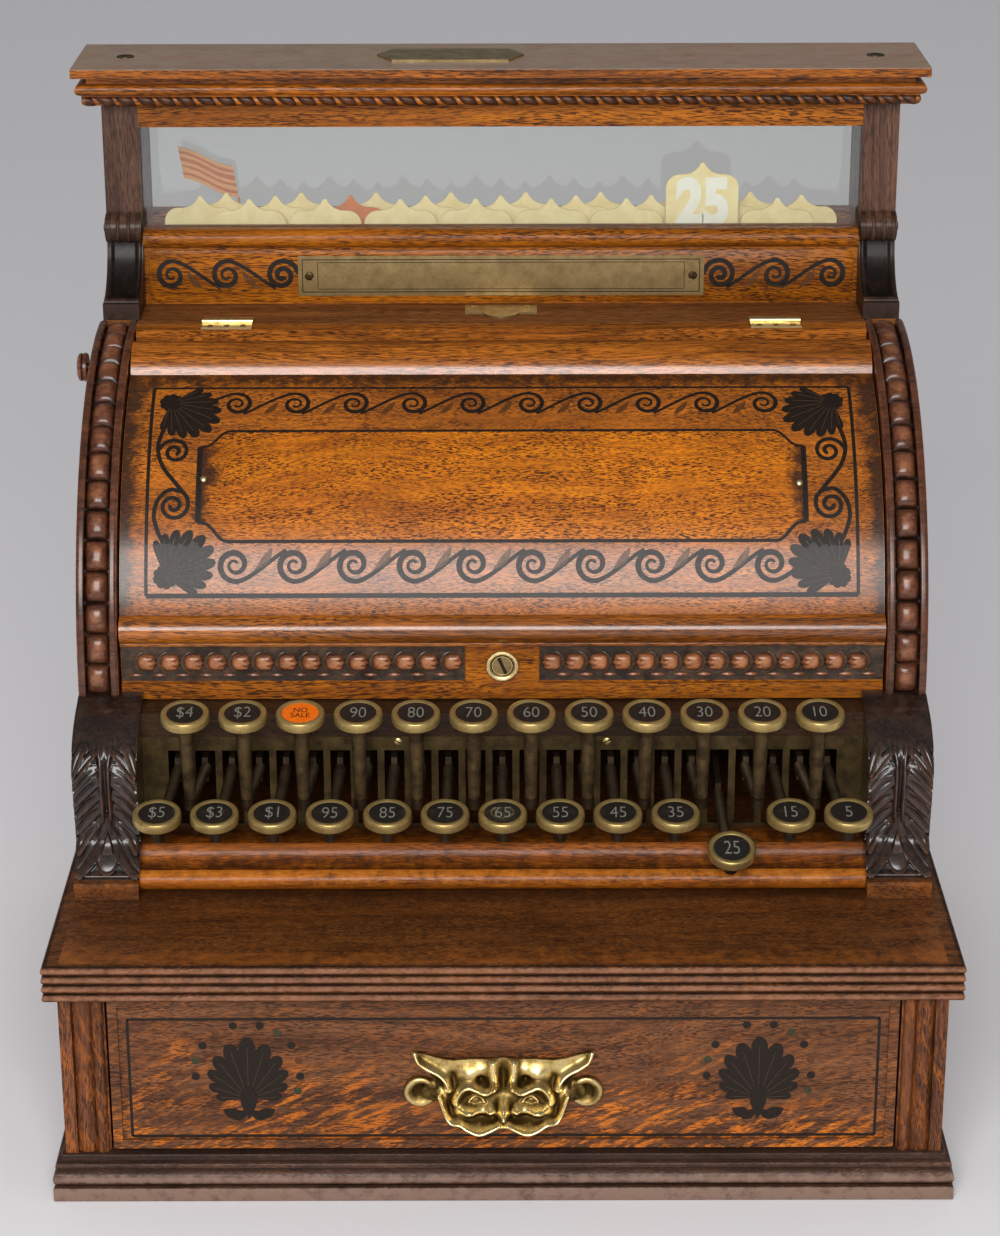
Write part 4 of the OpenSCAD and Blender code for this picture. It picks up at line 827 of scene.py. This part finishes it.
def corbel_leaf(a, b):
    """Relief of the acanthus leaf in mm: a is the distance from the middle line, b the height above the foot. A folded
    pair on top, hooked lobes hanging in pairs from a double stem, and two broad foot lobes round a tongue with a half
    disc; fine flutes and a plain brow lie above."""
    lobes = [((10.3, 67), (13.6, 66), (16.8, 55), 2.8, 5.2), ((5.0, 64.5), (9.5, 62), (16.2, 52.8), 2.8, 5.6),
             ((5.2, 57), (10.5, 55.5), (16.8, 46.8), 3.4, 3.8), ((3.4, 50.5), (10, 48.5), (16.8, 39), 4.4, 2.5),
             ((3.4, 42.5), (10, 40.5), (16.6, 31.3), 4.4, 2.3), ((3.4, 34.5), (10, 32.5), (16.2, 23), 4.6, 2.5),
             ((1.0, 30), (5.0, 14), (15.2, 5.5), 6.2, 3.4), ((5.5, 25), (10.5, 23.5), (15.6, 13.4), 3.6, 5.0)]
    b = b / LEAF_STRETCH
    leafy = np.zeros(a.shape)
    for root, middle, tip, half, high in lobes:
        leafy = np.maximum(leafy, carved_lobe(a, b, root, middle, tip, half, high))
    stem = 2.0 * bump(a - 2.1, 1.2) * smooth((66 - b) / 8) * smooth((b - 22) / 8)
    wedge = 3.8 * smooth((0.4 + 3.5 * np.clip((22 - b) / 11, 0, 1) - a) / 0.8) * smooth((b - 10.6) / 1.0) * (b < 23)
    disc = np.clip(1 - (a / 6.8) ** 2 - ((b - 11) / 8.6) ** 2, 0, 1)
    disc = (2.2 * disc**0.35 + 1.8 * bump(disc - 0.12, 0.12)) * (disc > 0) * (b < 11.5)
    flutes = 0.8 * np.abs(np.cos((a - 0.4) * math.pi / 2.7))
    flutes = flutes * smooth((b - 58) / 6) * smooth((74 - b) / 8) * smooth((9 - a) / 4)
    leafy = np.maximum.reduce([leafy, stem, wedge, disc, 0.9 * smooth((a - 16.6) / 0.5)]) + flutes
    leafy += 1.2 * bump(b - 2.0, 1.1) + 1.6 * smooth((b - 70) / 10) * np.sqrt(np.clip(1 - (a / 20) ** 2, 0, 1))
    return leafy * smooth((81 - b) / 3) * smooth(b / 1.0)


def corbel_carving():
    """Each corbel as rings up its height: the leaf in front, flat sides and back, on a plain foot block."""
    t = np.linspace(0, 1, 260)[:, None]
    v = np.linspace(-1, 1, 111)[None]
    height = CORBEL_TOP_Z - CORBEL_FOOT_Z
    half = (CORBEL_X1 - CORBEL_X0) / 2
    reach = CORBEL_REACH * np.interp(t[:, 0], *CORBEL_CURVE.T)
    window = np.hanning(31) / np.hanning(31).sum()
    reach = np.convolve(np.pad(reach, 15, mode="edge"), window, mode="valid")[:, None]
    relief = corbel_leaf(np.abs(v) * half + 0 * t, t * height + 0 * v)
    z = np.broadcast_to(CORBEL_FOOT_Z + t * height, relief.shape)
    x = np.broadcast_to((CORBEL_X0 + CORBEL_X1) / 2 + v * half, relief.shape)
    face = np.stack([x, np.minimum(CORBEL_CORE_Y - reach - relief, CORBEL_BACK_Y - 0.5), z], -1)
    back = np.zeros((len(t), 2, 3))
    back[:, :, 0] = [CORBEL_X1, CORBEL_X0]
    back[:, :, 1] = CORBEL_BACK_Y
    back[:, :, 2] = z[:, :1]
    level = np.clip(0.46 + crest(relief, 19) / 2.4, 0, 1)
    level = np.concatenate([level, np.full((len(t), 2), 0.45)], 1)
    leaf_skin = skin(np.concatenate([face, back], 1), ring=True, caps=True, relief=level)
    foot = [(-121, BOARD_TOP_Z), (-121, CORBEL_FOOT_Z - 1.4), (-119.8, CORBEL_FOOT_Z), (CORBEL_BACK_Y, CORBEL_FOOT_Z),
            (CORBEL_BACK_Y, BOARD_TOP_Z)]
    block = run_x(foot, CORBEL_X0, CORBEL_X1, [0.5, 0.8, 0.7, 0.4, 0.4])
    build("corbel_carving", both([leaf_skin]), walnut_carved, "cabinet", ("corbels",), 55)
    build("corbel_feet", both([block]), oak_top, "cabinet")


def rail_carving():
    """Fourteen buds on each side of the lock: a dome, round at one end and split in three at the other, with a dark
    crescent behind it and a small dart below."""
    u = np.linspace(0, 1, 15)[:, None]
    a = np.linspace(0, TAU, 32, endpoint=False)[None]
    buds, curls = [], []
    first, pitch, z, dart_z = 27.0, 12.9, 252.0, 244.6
    for k in range(14):
        x = first + pitch * k
        ragged = np.where(np.cos(a) < 0, 0.94 + 0.09 * np.cos(6 * a), 1.0)
        dx = 5.5 * u * ragged * np.sign(np.cos(a)) * np.abs(np.cos(a)) ** 0.62
        dz = 4.9 * u * np.sign(np.sin(a)) * np.abs(np.sin(a)) ** 0.72
        split = smooth(-dx / 3.0) * np.maximum(bump(dz - 1.5, 0.45), bump(dz + 1.5, 0.45))
        dome = np.clip(1 - u**3.2, 0, 1) ** 0.6 * (1 - 0.3 * split)
        grid = np.stack([x + dx, RAIL_Y + 0.2 - 3.4 * dome, z + dz], -1)[::-1]
        level = np.clip(0.08 + 0.82 * dome[::-1] - 0.45 * split[::-1], 0, 1)
        buds.append(skin(grid, ring=True, toward=FRONT, relief=level))
        ring = arc(x, z, 6.4, -70, 70, 15)
        path = np.stack([ring[:, 0], np.full(15, RAIL_Y - 0.4), ring[:, 1]], 1)
        curls.append(tube(path, 0.2 + 1.2 * np.sin(np.linspace(0.2, math.pi - 0.2, 15)), 8, 0.5))
        dart = np.linspace((x + 3.0, RAIL_Y - 0.2, dart_z), (x + 10.0, RAIL_Y - 0.2, dart_z), 9)
        buds.append(tube(dart, 0.15 + 0.95 * np.sin(np.linspace(0.1, math.pi - 0.1, 9)), 8, 0.6))
    band = [(RAIL_Y + 0.5, 241), (RAIL_Y - 0.06, 241), (RAIL_Y - 0.06, 262), (RAIL_Y + 0.5, 262)]
    ground = run_x(band, 20.5, LID_HALF_X, [0.25] * 4)
    build("rail_buds", both(buds), oak_bud, "lid")
    build("rail_ground", both(curls + [ground]), oak_ground, "lid")


def cornice_rope():
    """A carved cord under the cornice, on the front and both ends: the radius swells as |cos| of the strand's
    phase, which runs along the cord and once round it."""
    half_x, y0, y1, z = 236.9, 126.6, 189.0, 525.0
    runs = [((-half_x, y1), (-half_x, y0)), ((-half_x, y0), (half_x, y0)), ((half_x, y0), (half_x, y1))]
    parts = []
    for start, end in runs:
        start, end = np.array(start), np.array(end)
        length = np.hypot(*(end - start))
        s = np.linspace(0, length, int(length / 0.9))[:, None]
        a = np.linspace(0, TAU, 18, endpoint=False)[None]
        swell = np.abs(np.cos(s / 11.5 * math.pi + 0.5 * a)) ** 0.55
        r = 1.5 + 1.8 * swell
        along = (end - start) / length
        out = np.array([along[1], -along[0]])
        xy = start + s[..., None] * along + (r * np.cos(a))[..., None] * out
        points = np.concatenate([xy, (z + r * np.sin(a))[..., None]], -1)
        parts.append(skin(points, ring=True, caps=True, relief=np.clip(0.78 * swell**2.2, 0, 1)))
    build("cornice_rope", parts, oak_cord, "cabinet")


def post_carving():
    """The foot of each window post: a roll turned about X with two fat reels and end bosses, over a hollow fluted
    bracket with a rolled toe."""
    post_x, eye_x, roll_y, roll_z, toe_y, toe_z, toe_half = 219.5, 230.0, 136.0, 448.5, 107.4, 411.4, 9.9
    x = np.linspace(-10.9, 10.9, 60)
    bosses = 0.85 * smooth((np.abs(x) - 6.6) / 0.8) * smooth((11.2 - np.abs(x)) / 1.6)
    reels = np.maximum(bump(np.abs(x) - 3.1, 2.1), bosses)
    roll = turned(np.stack([6.6 + 2.5 * reels, x], 1), (post_x, roll_y, roll_z), X_AXIS, 48, 0.05 + 0.8 * reels)
    button = [[3.6, 0], [3.4, 0.9], [1.8, 1.5], [0.05, 1.6]]
    eye = turned(button, (eye_x, roll_y, roll_z), X_AXIS, 24, [0.2, 0.6, 0.8, 0.8])
    theta = np.radians(np.linspace(-6, -80, 40))[:, None]
    half = np.linspace(-1, 1, 33)[None]
    flute = 0.4 + 1.5 * smooth((np.abs(half) - 0.62) / 0.2) * smooth((1.0 - np.abs(half)) / 0.06)
    r = 33.5 - flute
    face = np.stack([post_x + half * (9.7 + 0 * theta), 102 + r * np.cos(theta), 445 + r * np.sin(theta)], -1)
    level = np.broadcast_to(0.05 + 0.2 * flute, face.shape[:2])
    bracket = skin(face, toward=FRONT + Z_AXIS, relief=level)
    toe = np.array([(post_x + o, toe_y, toe_z) for o in (-toe_half, 0.0, toe_half)])
    build("post_carving", both([roll, eye, bracket, tube(toe, 2.3, 20, 0.75)]), walnut_dark, "cabinet")


# The mask pull

MASK_Z = 44.25
MASK_TOP = np.array([(0, 39.8), (6.4, 39), (16.4, 39), (26.4, 38), (33, 38.7), (40, 40.3), (48.3, 42)])
MASK_FOOT = np.array([(0, 2.4), (2, 4.2), (7, 1.4), (13, -0.3), (18.6, 1.2), (23, 3.8), (28, 4.2), (30.5, 7),
                      (32.5, 13), (34.5, 19.5), (36, 24), (38, 28), (41.5, 32.4), (46, 36.6), (48.3, 41)])


def ridge(x, z, points, high, w):
    """A rounded ridge of a height and width along a smooth line through a few points."""
    return high * bump(along_line(x, z, through(points, 4))[0], w)


def boss(x, z, cx, cz, wx, wz, high):
    """An oval swelling, or a dimple where high is negative."""
    return high * np.exp(-(((x - cx) / wx) ** 2) - ((z - cz) / wz) ** 2)


def mask_relief(x, z):
    """Height in mm of the grotesque's features over half of the mask, x from its middle line."""
    brow = [(25.7, 16), (22.9, 22.4), (18.6, 25.1), (13.6, 23.5), (10, 21.8), (6.6, 23.4), (4.4, 26.2)]
    h = ridge(x, z, brow, 4.4, 2.0)
    h += ridge(x, z, [(4.8, 26), (5.2, 31), (5.4, 37.4)], 3.4, 2.2)
    h += ridge(x, z, [(47.6, 41), (46, 37.6), (42.1, 34.8), (35, 31), (30.2, 27), (28.9, 23)], 4.2, 2.1)
    h += ridge(x, z, [(18.4, 16.6), (15.2, 18.7), (11.8, 18.1), (9.8, 16.2)], 1.5, 0.75)
    h += ridge(x, z, [(17.8, 16.2), (14.2, 15.5), (10.8, 16.1)], 1.1, 0.6)
    h += ridge(x, z, [(34.2, 19.6), (32, 13.6), (30, 8.6), (27.6, 6.0), (22.9, 5.6), (18.6, 3.2), (12.9, 1.5),
                      (7.1, 3.4), (2.2, 6.0)], 4.6, 2.0)
    h += 7.0 * bump(x, 2.8) * smooth((z - 8.6) / 2.0) * smooth((21.5 - z) / 7)
    bosses = [(14.2, 17.1, 2.6, 1.1, 1.8), (14.0, 17.4, 6.8, 3.6, -3.2), (18.0, 12.0, 5.0, 2.6, 5.4),
              (12.0, 8.2, 5.4, 2.4, -3.0), (0, 11.2, 3.0, 2.6, 2.4), (7.0, 12.0, 2.3, 2.0, 3.4),
              (4.4, 9.4, 1.4, 1.0, -1.8), (18.0, 31.5, 4.2, 3.4, 2.0), (11.4, 34.0, 3.2, 2.6, 1.4),
              (11.8, 27.8, 2.4, 2.2, -3.0), (0, 32.0, 2.0, 7.0, -1.2), (36.5, 27.0, 4.2, 3.6, -2.6),
              (28.0, 13.5, 2.6, 5.0, -2.2), (0, 4.6, 1.7, 1.6, 2.0), (26.5, 29.0, 2.6, 3.4, -1.6)]
    return h + sum(boss(x, z, *shape) for shape in bosses)


def mask_pull():
    """A hollow grip over a grid across x and up its height: the cup's bulge, deepest at the foot, plus the mask's
    relief; the inner wall follows behind. The ears are turned rings beside it."""
    half_w = MASK_TOP[-1, 0]
    x = np.linspace(-half_w, half_w, 301)[:, None]
    v = np.linspace(0, 1, 121)[None]
    top, foot = (np.interp(np.abs(x), *line.T) for line in (MASK_TOP, MASK_FOOT))
    z = foot + (top - foot) * v
    x = np.broadcast_to(x, z.shape)
    cup = 1.6 + (1 - (np.abs(x) / half_w) ** 3) * (0.2 + 0.6 * np.clip(1 - z / 40, 0, 1) ** 1.2) * 18
    relief = mask_relief(np.abs(x), z)
    rise = np.maximum(cup + relief * smooth((half_w + 2 - np.abs(x)) / 6), 1.0)
    inner = np.maximum(np.minimum(cup - 2.4, rise - 0.8), 0.0)
    outside = np.stack([x, DRAWER_Y - rise, z + MASK_Z], -1)
    inside = np.stack([x, DRAWER_Y - inner, z + MASK_Z], -1)[:, ::-1]
    level = np.clip(0.46 + crest(relief, 25) / 3.0, 0, 1)
    level = np.concatenate([level, np.full(level.shape, 0.1)], 1)
    mask = skin(np.concatenate([outside, inside], 1), ring=True, caps=True, relief=level)
    profile = [(8.7, 0), (8.8, 2.4), (8.2, 3.5), (7.2, 3.8), (5.9, 3.3), (4.9, 2.6), (4.0, 1.6), (3.2, 1.0),
               (0.05, 0.9)]
    ear = turned(profile, (44.0, DRAWER_Y, MASK_Z + 18.0), FRONT, 40, [0.2, 0.25, 0.5, 0.55, 0.3, 0.25, 0.1, 0.0, 0.0])
    lug = turned([(6.4, 0), (6.4, 2.8), (5.2, 4.0), (0.05, 4.4)], (37.0, DRAWER_Y, MASK_Z + 18.8), FRONT, 28, [0.2] * 4)
    build("mask_pull", [mask] + both([ear, lug]), brass, "drawer", ("drawer_pull",), 70)


# Keys

KEY_LABELS = ["$5", "$4", "$3", "$2", "$1", "NO\nSALE"] + [str(c) for c in range(95, 0, -5)]
KEY_BODIES = ["key_dollar_%d" % c for c in range(5, 0, -1)] + ["key_no_sale"] + ["key_%d" % c for c in range(95, 0, -5)]
CAP_TILT = math.radians(10)
KEY_PITCH, LOWER_CAP, UPPER_CAP = 15.45, (-120.0, 191.0), (-103.0, 242.0)


def pressed(part, k):
    """The pressed key's skin turned about the lever pivot; the others as they are."""
    if k != PRESSED_KEY:
        return part
    a = math.radians(PRESS_DEG)
    turn = np.array([[1, 0, 0], [0, math.cos(a), -math.sin(a)], [0, math.sin(a), math.cos(a)]])
    return (part[0] - KEY_PIVOT) @ turn.T + KEY_PIVOT, part[1], part[2]


def lettering(text, size, thicken=0.0):
    """A short text as flat triangles: vertices in its own plane about its middle, and faces."""
    curve = bpy.data.curves.new("lettering", "FONT")
    curve.body = text
    curve.size = size
    curve.offset = thicken
    curve.space_line = 0.8
    curve.align_x = "CENTER"
    holder = new_object("lettering", curve)
    bpy.context.view_layer.update()
    mesh = bpy.data.meshes.new_from_object(holder.evaluated_get(bpy.context.evaluated_depsgraph_get()))
    flat = np.zeros(len(mesh.vertices) * 3)
    mesh.vertices.foreach_get("co", flat)
    faces = [list(p.vertices) for p in mesh.polygons]
    bpy.data.objects.remove(holder)
    bpy.data.curves.remove(curve)
    bpy.data.meshes.remove(mesh)
    flat = flat.reshape(-1, 3)[:, :2]
    return flat - (flat.min(0) + flat.max(0)) / 2, faces


def laid(flat, faces, centre, right, up):
    """Flat lettering laid at a place: centre + x right + y up."""
    verts = np.asarray(centre) + flat[:, :1] * right + flat[:, 1:] * up
    return verts, faces, np.full(len(verts), 0.5)


def key_caps():
    """For every key a rolled brass rim, a sunk black face and its numerals, on the cap's tilted axis; the upper row
    also has tapering stems."""
    axis = np.array([0, -math.sin(CAP_TILT), math.cos(CAP_TILT)])
    up = np.array([0, math.cos(CAP_TILT), math.sin(CAP_TILT)])
    rim = [(8.5, -5.15), (12.5, -5.2), (13.0, -4.7), (13.15, -3.4), (13.15, -1.0), (13.05, -0.2), (12.6, 0.45),
           (11.9, 0.7), (11.0, 0.65), (10.3, 0.45), (9.9, 0.2), (9.7, 0.05)]
    face = [(9.95, 0.02), (9.9, 0.14), (7, 0.2), (4, 0.24), (0.05, 0.26)]
    stem = [(9.0, -5.3), (6.4, -6.2), (4.7, -9), (4.1, -14), (3.35, -50), (3.3, -54)]
    for k, (label, body) in enumerate(zip(KEY_LABELS, KEY_BODIES)):
        lower = k % 2 == 0
        centre = np.array([(k - 12) * KEY_PITCH, *(LOWER_CAP if lower else UPPER_CAP)])
        signal = label.startswith("NO")
        flat, tri = lettering(label, 5.0 if signal else 13.0, 0.0 if signal else -0.11)
        flat = flat * ((1.0, 1.25) if signal else (0.72, 1.12))
        parts = [("rim", turned(rim, centre, axis, 44), brass_rim, "brass"),
                 ("face", turned(face, centre, axis, 44), cap_orange if signal else cap_black, "enamel"),
                 ("numeral", laid(flat, tri, centre + 0.34 * axis, X_AXIS, up),
                  numeral_dark if signal else numeral_pale, "ivory")]
        if not lower:
            parts.append(("stem", turned(stem, centre, axis, 20), brass_stem, "brass"))
        for name, part, finish, slot in parts:
            build(body + "_" + name, [pressed(part, k)], finish, body)


# Indicator

TABLET_W, TABLET_TIP, TABLET_PITCH = 42.6, 460.0, 14.8


def tablet_numerals():
    """Bold white numerals on the lifted tablet, and an orange face on one lowered tablet."""
    flat, tri = lettering("25", 37.0, 1.9)
    flat = flat * [0.84, 1.0]
    numeral = laid(flat, tri, (8 * TABLET_PITCH, 157.8, 458.0), X_AXIS, Z_AXIS)
    build("tablet_25_numeral", [numeral], tablet_white, "tablet_25")
    x, y, sweep, shoulder = -6 * TABLET_PITCH, 166.5, 7.0, 8.0
    right = joined([(TABLET_W / 2, 424.0)],
                   arc(TABLET_W / 2 - shoulder, TABLET_TIP - sweep - shoulder, shoulder, 0, 90, 9),
                   arc(11.34, TABLET_TIP + 4.2, 11.2, 270, 202, 9))
    outline = np.concatenate([right, (right * [-1, 1])[::-1]])
    rings = np.stack([on_wall(y)(outline + [x, 0], h) for h in (0.75, -0.75)])
    build("tablet_orange_face", [skin(rings, ring=True, caps=True)], tablet_orange, "cabinet")


def flag_cloth():
    """A small stiff flag on its wire: a sheared rectangle with a slow wave, striped along its length."""
    u = np.linspace(0, 1, 30)[:, None]
    v = np.linspace(0, 1, 22)[None]
    x = -156 - 32 * u - 3 * v
    z = 456 + 0.36 * 32 * u + 19 * v - 1.2 * np.sin(u * 6)
    y = 180 + 1.4 * np.sin(u * 6) * u
    shape = np.broadcast(x, z).shape
    front, rear = (np.stack([np.broadcast_to(q, shape) for q in (x, y + d, z)], -1) for d in (-0.4, 0.4))
    stripe = np.broadcast_to(np.floor(v * 8.99) % 2, shape)
    cloth = skin(np.concatenate([front, rear[:, ::-1]], 1), ring=True, caps=True,
                 relief=np.concatenate([stripe, stripe[:, ::-1]], 1))
    wire = turned([[0.8, 0], [0.8, 36]], (-156, 180, 420), Z_AXIS, 12)
    material, tree, surface, place = new_finish("flag_stripes")
    fade = cloud(tree, place, 220.0, 4.0)
    level = plus(tree, relief_of(tree), ramp(tree, fade, 0.3, 0.7, -0.3, 0.3))
    shown = mix(tree, ramp(tree, level, 0.2, 0.8), rgb(206, 148, 92), rgb(178, 92, 48))
    connect(tree, surface, {"Base Color": shown, "Roughness": 0.7})
    build("flag_cloth", [cloth, wire], material, "cabinet", ("signal_flag",))


# Small fittings


def screw(centre, axis, r, turn=0.6):
    """A slotted screw head: a dome over polar rings whose height drops inside a straight slot."""
    axis, e1, e2 = across(axis)
    q = np.linspace(1, 0.03, 12)[:, None]
    a = np.arange(36)[None] / 36 * TAU
    x, y = r * q * np.cos(a), r * q * np.sin(a)
    slot = smooth((0.2 * r - np.abs(x * math.sin(turn) - y * math.cos(turn))) / (0.08 * r))
    h = 0.3 * r * np.sqrt(np.clip(1.05 - q**2, 0, 1)) - 0.22 * r * slot
    points = np.asarray(centre, float) + x[..., None] * e1 + y[..., None] * e2 + h[..., None] * axis
    return skin(points, ring=True, toward=axis, relief=np.clip(0.7 - 0.7 * slot, 0, 1) * np.ones_like(h))


def small_fittings():
    """Screws, pins, washers and the lines engraved round the long plate."""
    hinges = [(side * 157.5 + o) for side in (-1, 1) for o in (-9.5, 0, 9.5)]
    dark = [screw((side * 112.5, 136.75, 419), FRONT, 2.6, 0.3 + side) for side in (-1, 1)]
    build("plate_screws", dark, brass_dark, "cabinet")
    cabinet = [screw((x, 100.5, 403.15), Z_AXIS, 1.9, x) for x in hinges]
    cabinet += [screw((side * 15.5, 125.0, 403.2), Z_AXIS, 1.8, 0.8 * side) for side in (-1, 1)]
    cabinet += [screw((x, -75.05, 213.0), FRONT, 2.2, x) for x in (-171.5, -57, 57, 171.5)]
    build("cabinet_screws", cabinet, brass, "cabinet")
    moving = [screw((x, 86.3, 403.15), Z_AXIS, 1.9, 1.0 + x) for x in hinges]
    pin = [[1.9, -0.3], [1.7, 0.4], [1.0, 0.9], [0.05, 1.05]]
    for at in np.array([[-164.0, 119.0], [163.5, 116.0]]):
        spot, out = on_lid(at[None], 0.2)[0], on_lid(at[None], 1.2)[0]
        moving.append(turned(pin, spot, out - spot, 16, [0.6, 0.8, 1, 1]))
    build("lid_screws", moving, brass, "lid")
    cup = [[5.2, 0.0], [5.0, 0.5], [4.2, 0.6], [2.6, 0.1]]
    cups = [turned(cup, (side * 217, 158, 544), Z_AXIS, 28) for side in (-1, 1)]
    build("cornice_washers", cups, steel, "cabinet")
    lines = rectangle_lines(116.5, 409.3, 428.7, (0.5, 0.5, 0.5), on_plate)
    lines += rectangle_lines(107.5, 411.0, 427.0, (0.35, 0.35, 0.35), on_plate)
    build("plate_lines", lines, inlay_black, "cabinet")


def lock_rim():
    """A rolled rim round the lock's face, and the slot in its plug."""
    ring = turned([(5.6, 0.05), (8.5, 0), (8.9, 0.5), (8.6, 1.1), (7.6, 1.4), (6.6, 1.1), (6.0, 0.4), (5.6, 0.05)],
                  (0, -59.0, 251.0), FRONT, 48, [0.1, 0.2, 0.6, 0.9, 1.0, 0.6, 0.2, 0.1], False)
    build("lock_rim", [ring], brass, "lid")
    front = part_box("lock_plug")[0][1] / MM
    slot = strip(np.linspace((-2.1, 255.4), (2.1, 246.6), 3), 1.7, on_wall(front), 0.15)
    build("lock_slot", [slot], inlay_black, "lock_plug")


def knob_turning():
    """The side knob: a turned button with a groove and a domed end on its spindle."""
    profile = [(2.5, 20), (2.5, 0.2), (7.6, 0.2), (8.2, -0.4), (8.3, -2.0), (7.6, -2.6), (7.7, -3.0), (8.2, -3.4),
               (7.8, -4.8), (6.2, -5.6), (3.5, -5.95), (0.05, -6.0)]
    knob = turned(profile, (-238.0, 85, 379), X_AXIS, 44, [0.3, 0.3, 0.4, 0.7, 0.6, 0.1, 0.1, 0.7, 0.8, 0.6, 0.5, 0.5])
    build("knob_turning", [knob], oak_red, "side_knob", ("side_knob",))


# Moulded boards


def moulded_boards():
    """Plinth, base board and keybed as carried outlines; their crests are rubbed and their hollows dirty."""
    plinth = joined([(9.2, 0), (9.8, 0.3), (10, 1), (10, 7.2), (9.7, 7.8), (9.0, 8), (6.2, 8.3)],
                    arc(5.4, 13.2, 4.6, -70, 70, 12), [(6.3, 18.3)], arc(6.6, 20.5, 1.9, -60, 60, 7),
                    [(5.6, 22.8), (5.4, 25.4), (4.9, 26)])
    worn = np.clip((plinth[:, 0] - 5.6) / 4.4, 0, 1) ** 2
    build("plinth_moulding", [mitred_slab(plinth, BASE_W, BASE_D, 10, worn)], oak_plinth, "cabinet",
          ("plinth",), 30)
    pitch = 21 / 4
    reeds = [arc(10 - 2.375, 119 + (i + 0.5) * pitch, 2.375, -80, 80, 11) for i in range(4)]
    board = joined([(6.5, 119)], *reeds, [(6.5, BOARD_TOP_Z)])
    worn = np.clip((board[:, 0] - 8.4) / 1.6, 0, 1) ** 1.5 * 0.95
    worn[-1] = 0.5
    build("base_board_moulding", [mitred_slab(board, BASE_W, BASE_D, 10, worn)], oak_board, "cabinet",
          ("base_board",), 30)
    x, y = np.linspace(-231, 231, 120), np.linspace(-195.5, -60, 50)[:, None]
    top = np.stack([x + 0 * y, y + 0 * x, np.full((50, 120), BOARD_TOP_Z + 0.04)], -1)
    level = 0.42 + 0.4 * smooth((-165 - y) / 30) + 0.25 * smooth((np.abs(x) - 205) / 26)
    level = level - 0.4 * smooth((y + 128) / 14)
    build("board_top", [skin(top, toward=Z_AXIS, relief=level)], oak_top, "cabinet")
    keybed = joined([(-67, BOARD_TOP_Z)], arc(-107.4, 145.6, 5.6, 270, 90, 17), arc(-107.4, 162, 10.4, 268, 358, 16),
                    [(-96.6, 161.6), (-96.2, 162), (-67, 162)])
    worn = np.concatenate([[0.5], np.linspace(0.3, 0.95, 17), np.linspace(0.12, 0.5, 16), [0.6, 0.3, 0.0]])
    build("keybed_run", [run_x(keybed, -197, 197, worn)], oak_worn, "cabinet", ("keybed_moulding",), 30)


for make in (lid_field, lid_inlay, drawer_inlay, frieze_panel, arch_carving, corbel_carving, rail_carving, cornice_rope,
             post_carving, mask_pull, key_caps, tablet_numerals, flag_cloth, small_fittings, lock_rim, knob_turning,
             moulded_boards):
    make()

NODE_FINISH = {
    oak_brown: ["case_walls", "cheeks", "rear_top_board", "back_panel"],
    oak_cornice: ["cornice"],
    oak_dark: ["key_rail"],
    oak_upright: ["corner_pilasters"],
    oak_post: ["indicator_posts"],
    oak_orange: ["frieze_boards", "window_rails", "lid_rail"],
    oak_nosing: ["lid_nosings", "lid_panel"],
    oak_drawer: ["drawer_front"],
    pine: ["drawer_box", "rod_guide"],
    glass: ["window_panes"],
    brass_plate: ["brass_plates", "lock_plug", "bell"],
    brass_bright: ["hinge_fixed_leaves", "lid_hardware"],
    brass_dark: ["key_comb"],
    steel: ["key_pivot_rod", "counter_wheels"] + KEY_BODIES,
    tablet_cream: ["tablets", "tablet_25"],
}
for finish, names in NODE_FINISH.items():
    for name in names:
        mesh = cad[name].data
        mesh.materials.clear()
        mesh.materials.append(finish)


# Stage, light and camera


def studio():
    """A pale floor and backdrop, and one wide soft light in front, a little above."""
    material = bpy.data.materials.new("pale_floor")
    material.use_nodes = True
    tree = material.node_tree
    connect(tree, tree.nodes["Principled BSDF"], {"Base Color": rgb(228, 226, 228), "Roughness": 0.8})
    size = 6.0
    mesh = bpy.data.meshes.new("floor")
    mesh.from_pydata([(-size, -size, 0), (size, -size, 0), (size, size, 0), (-size, size, 0)], [], [[0, 1, 2, 3]])
    mesh.materials.append(material)
    floor = new_object("floor", mesh)
    world = bpy.data.worlds.new("studio")
    world.use_nodes = True
    tree = world.node_tree
    path = tree.nodes.new("ShaderNodeLightPath")
    seen = math_node(tree, "MAXIMUM", path.outputs["Is Camera Ray"], path.outputs["Is Transmission Ray"])
    light = mix(tree, path.outputs["Is Glossy Ray"], (0.46, 0.46, 0.47, 1), (0.19, 0.19, 0.19, 1))
    connect(tree, tree.nodes["Background"], {"Color": mix(tree, seen, light, rgb(164, 176, 176))})
    bpy.context.scene.world = world
    data = bpy.data.lights.new("key_light", "AREA")
    data.shape = "RECTANGLE"
    data.size, data.size_y, data.energy = 1.6, 1.1, 66
    lamp = new_object("key_light", data)
    lamp.location = (-0.18, -2.35, 1.48)
    way = np.array([0.0, 0.0, 0.3]) - (-0.18, -2.35, 1.48)
    lamp.rotation_euler = (math.acos(-way[2] / np.linalg.norm(way)), 0, math.atan2(way[1], way[0]) - math.pi / 2)


def camera():
    """The photograph's viewpoint: a long lens, a little above, turned very slightly about its own axis."""
    data = bpy.data.cameras.new("camera")
    data.sensor_fit = "VERTICAL"
    data.sensor_height = 36.0
    data.lens = 89.4
    data.shift_x, data.shift_y = 0.0027, 0.0012
    obj = new_object("camera", data)
    obj.location = (-0.003, -1.616, 0.881)
    turn = Matrix.Rotation(math.radians(68.84), 3, "X") @ Matrix.Rotation(math.radians(-0.13), 3, "Z")
    obj.rotation_euler = turn.to_euler()
    bpy.context.scene.camera = obj


studio()
camera()
bpy.context.scene.view_settings.view_transform = "Standard"
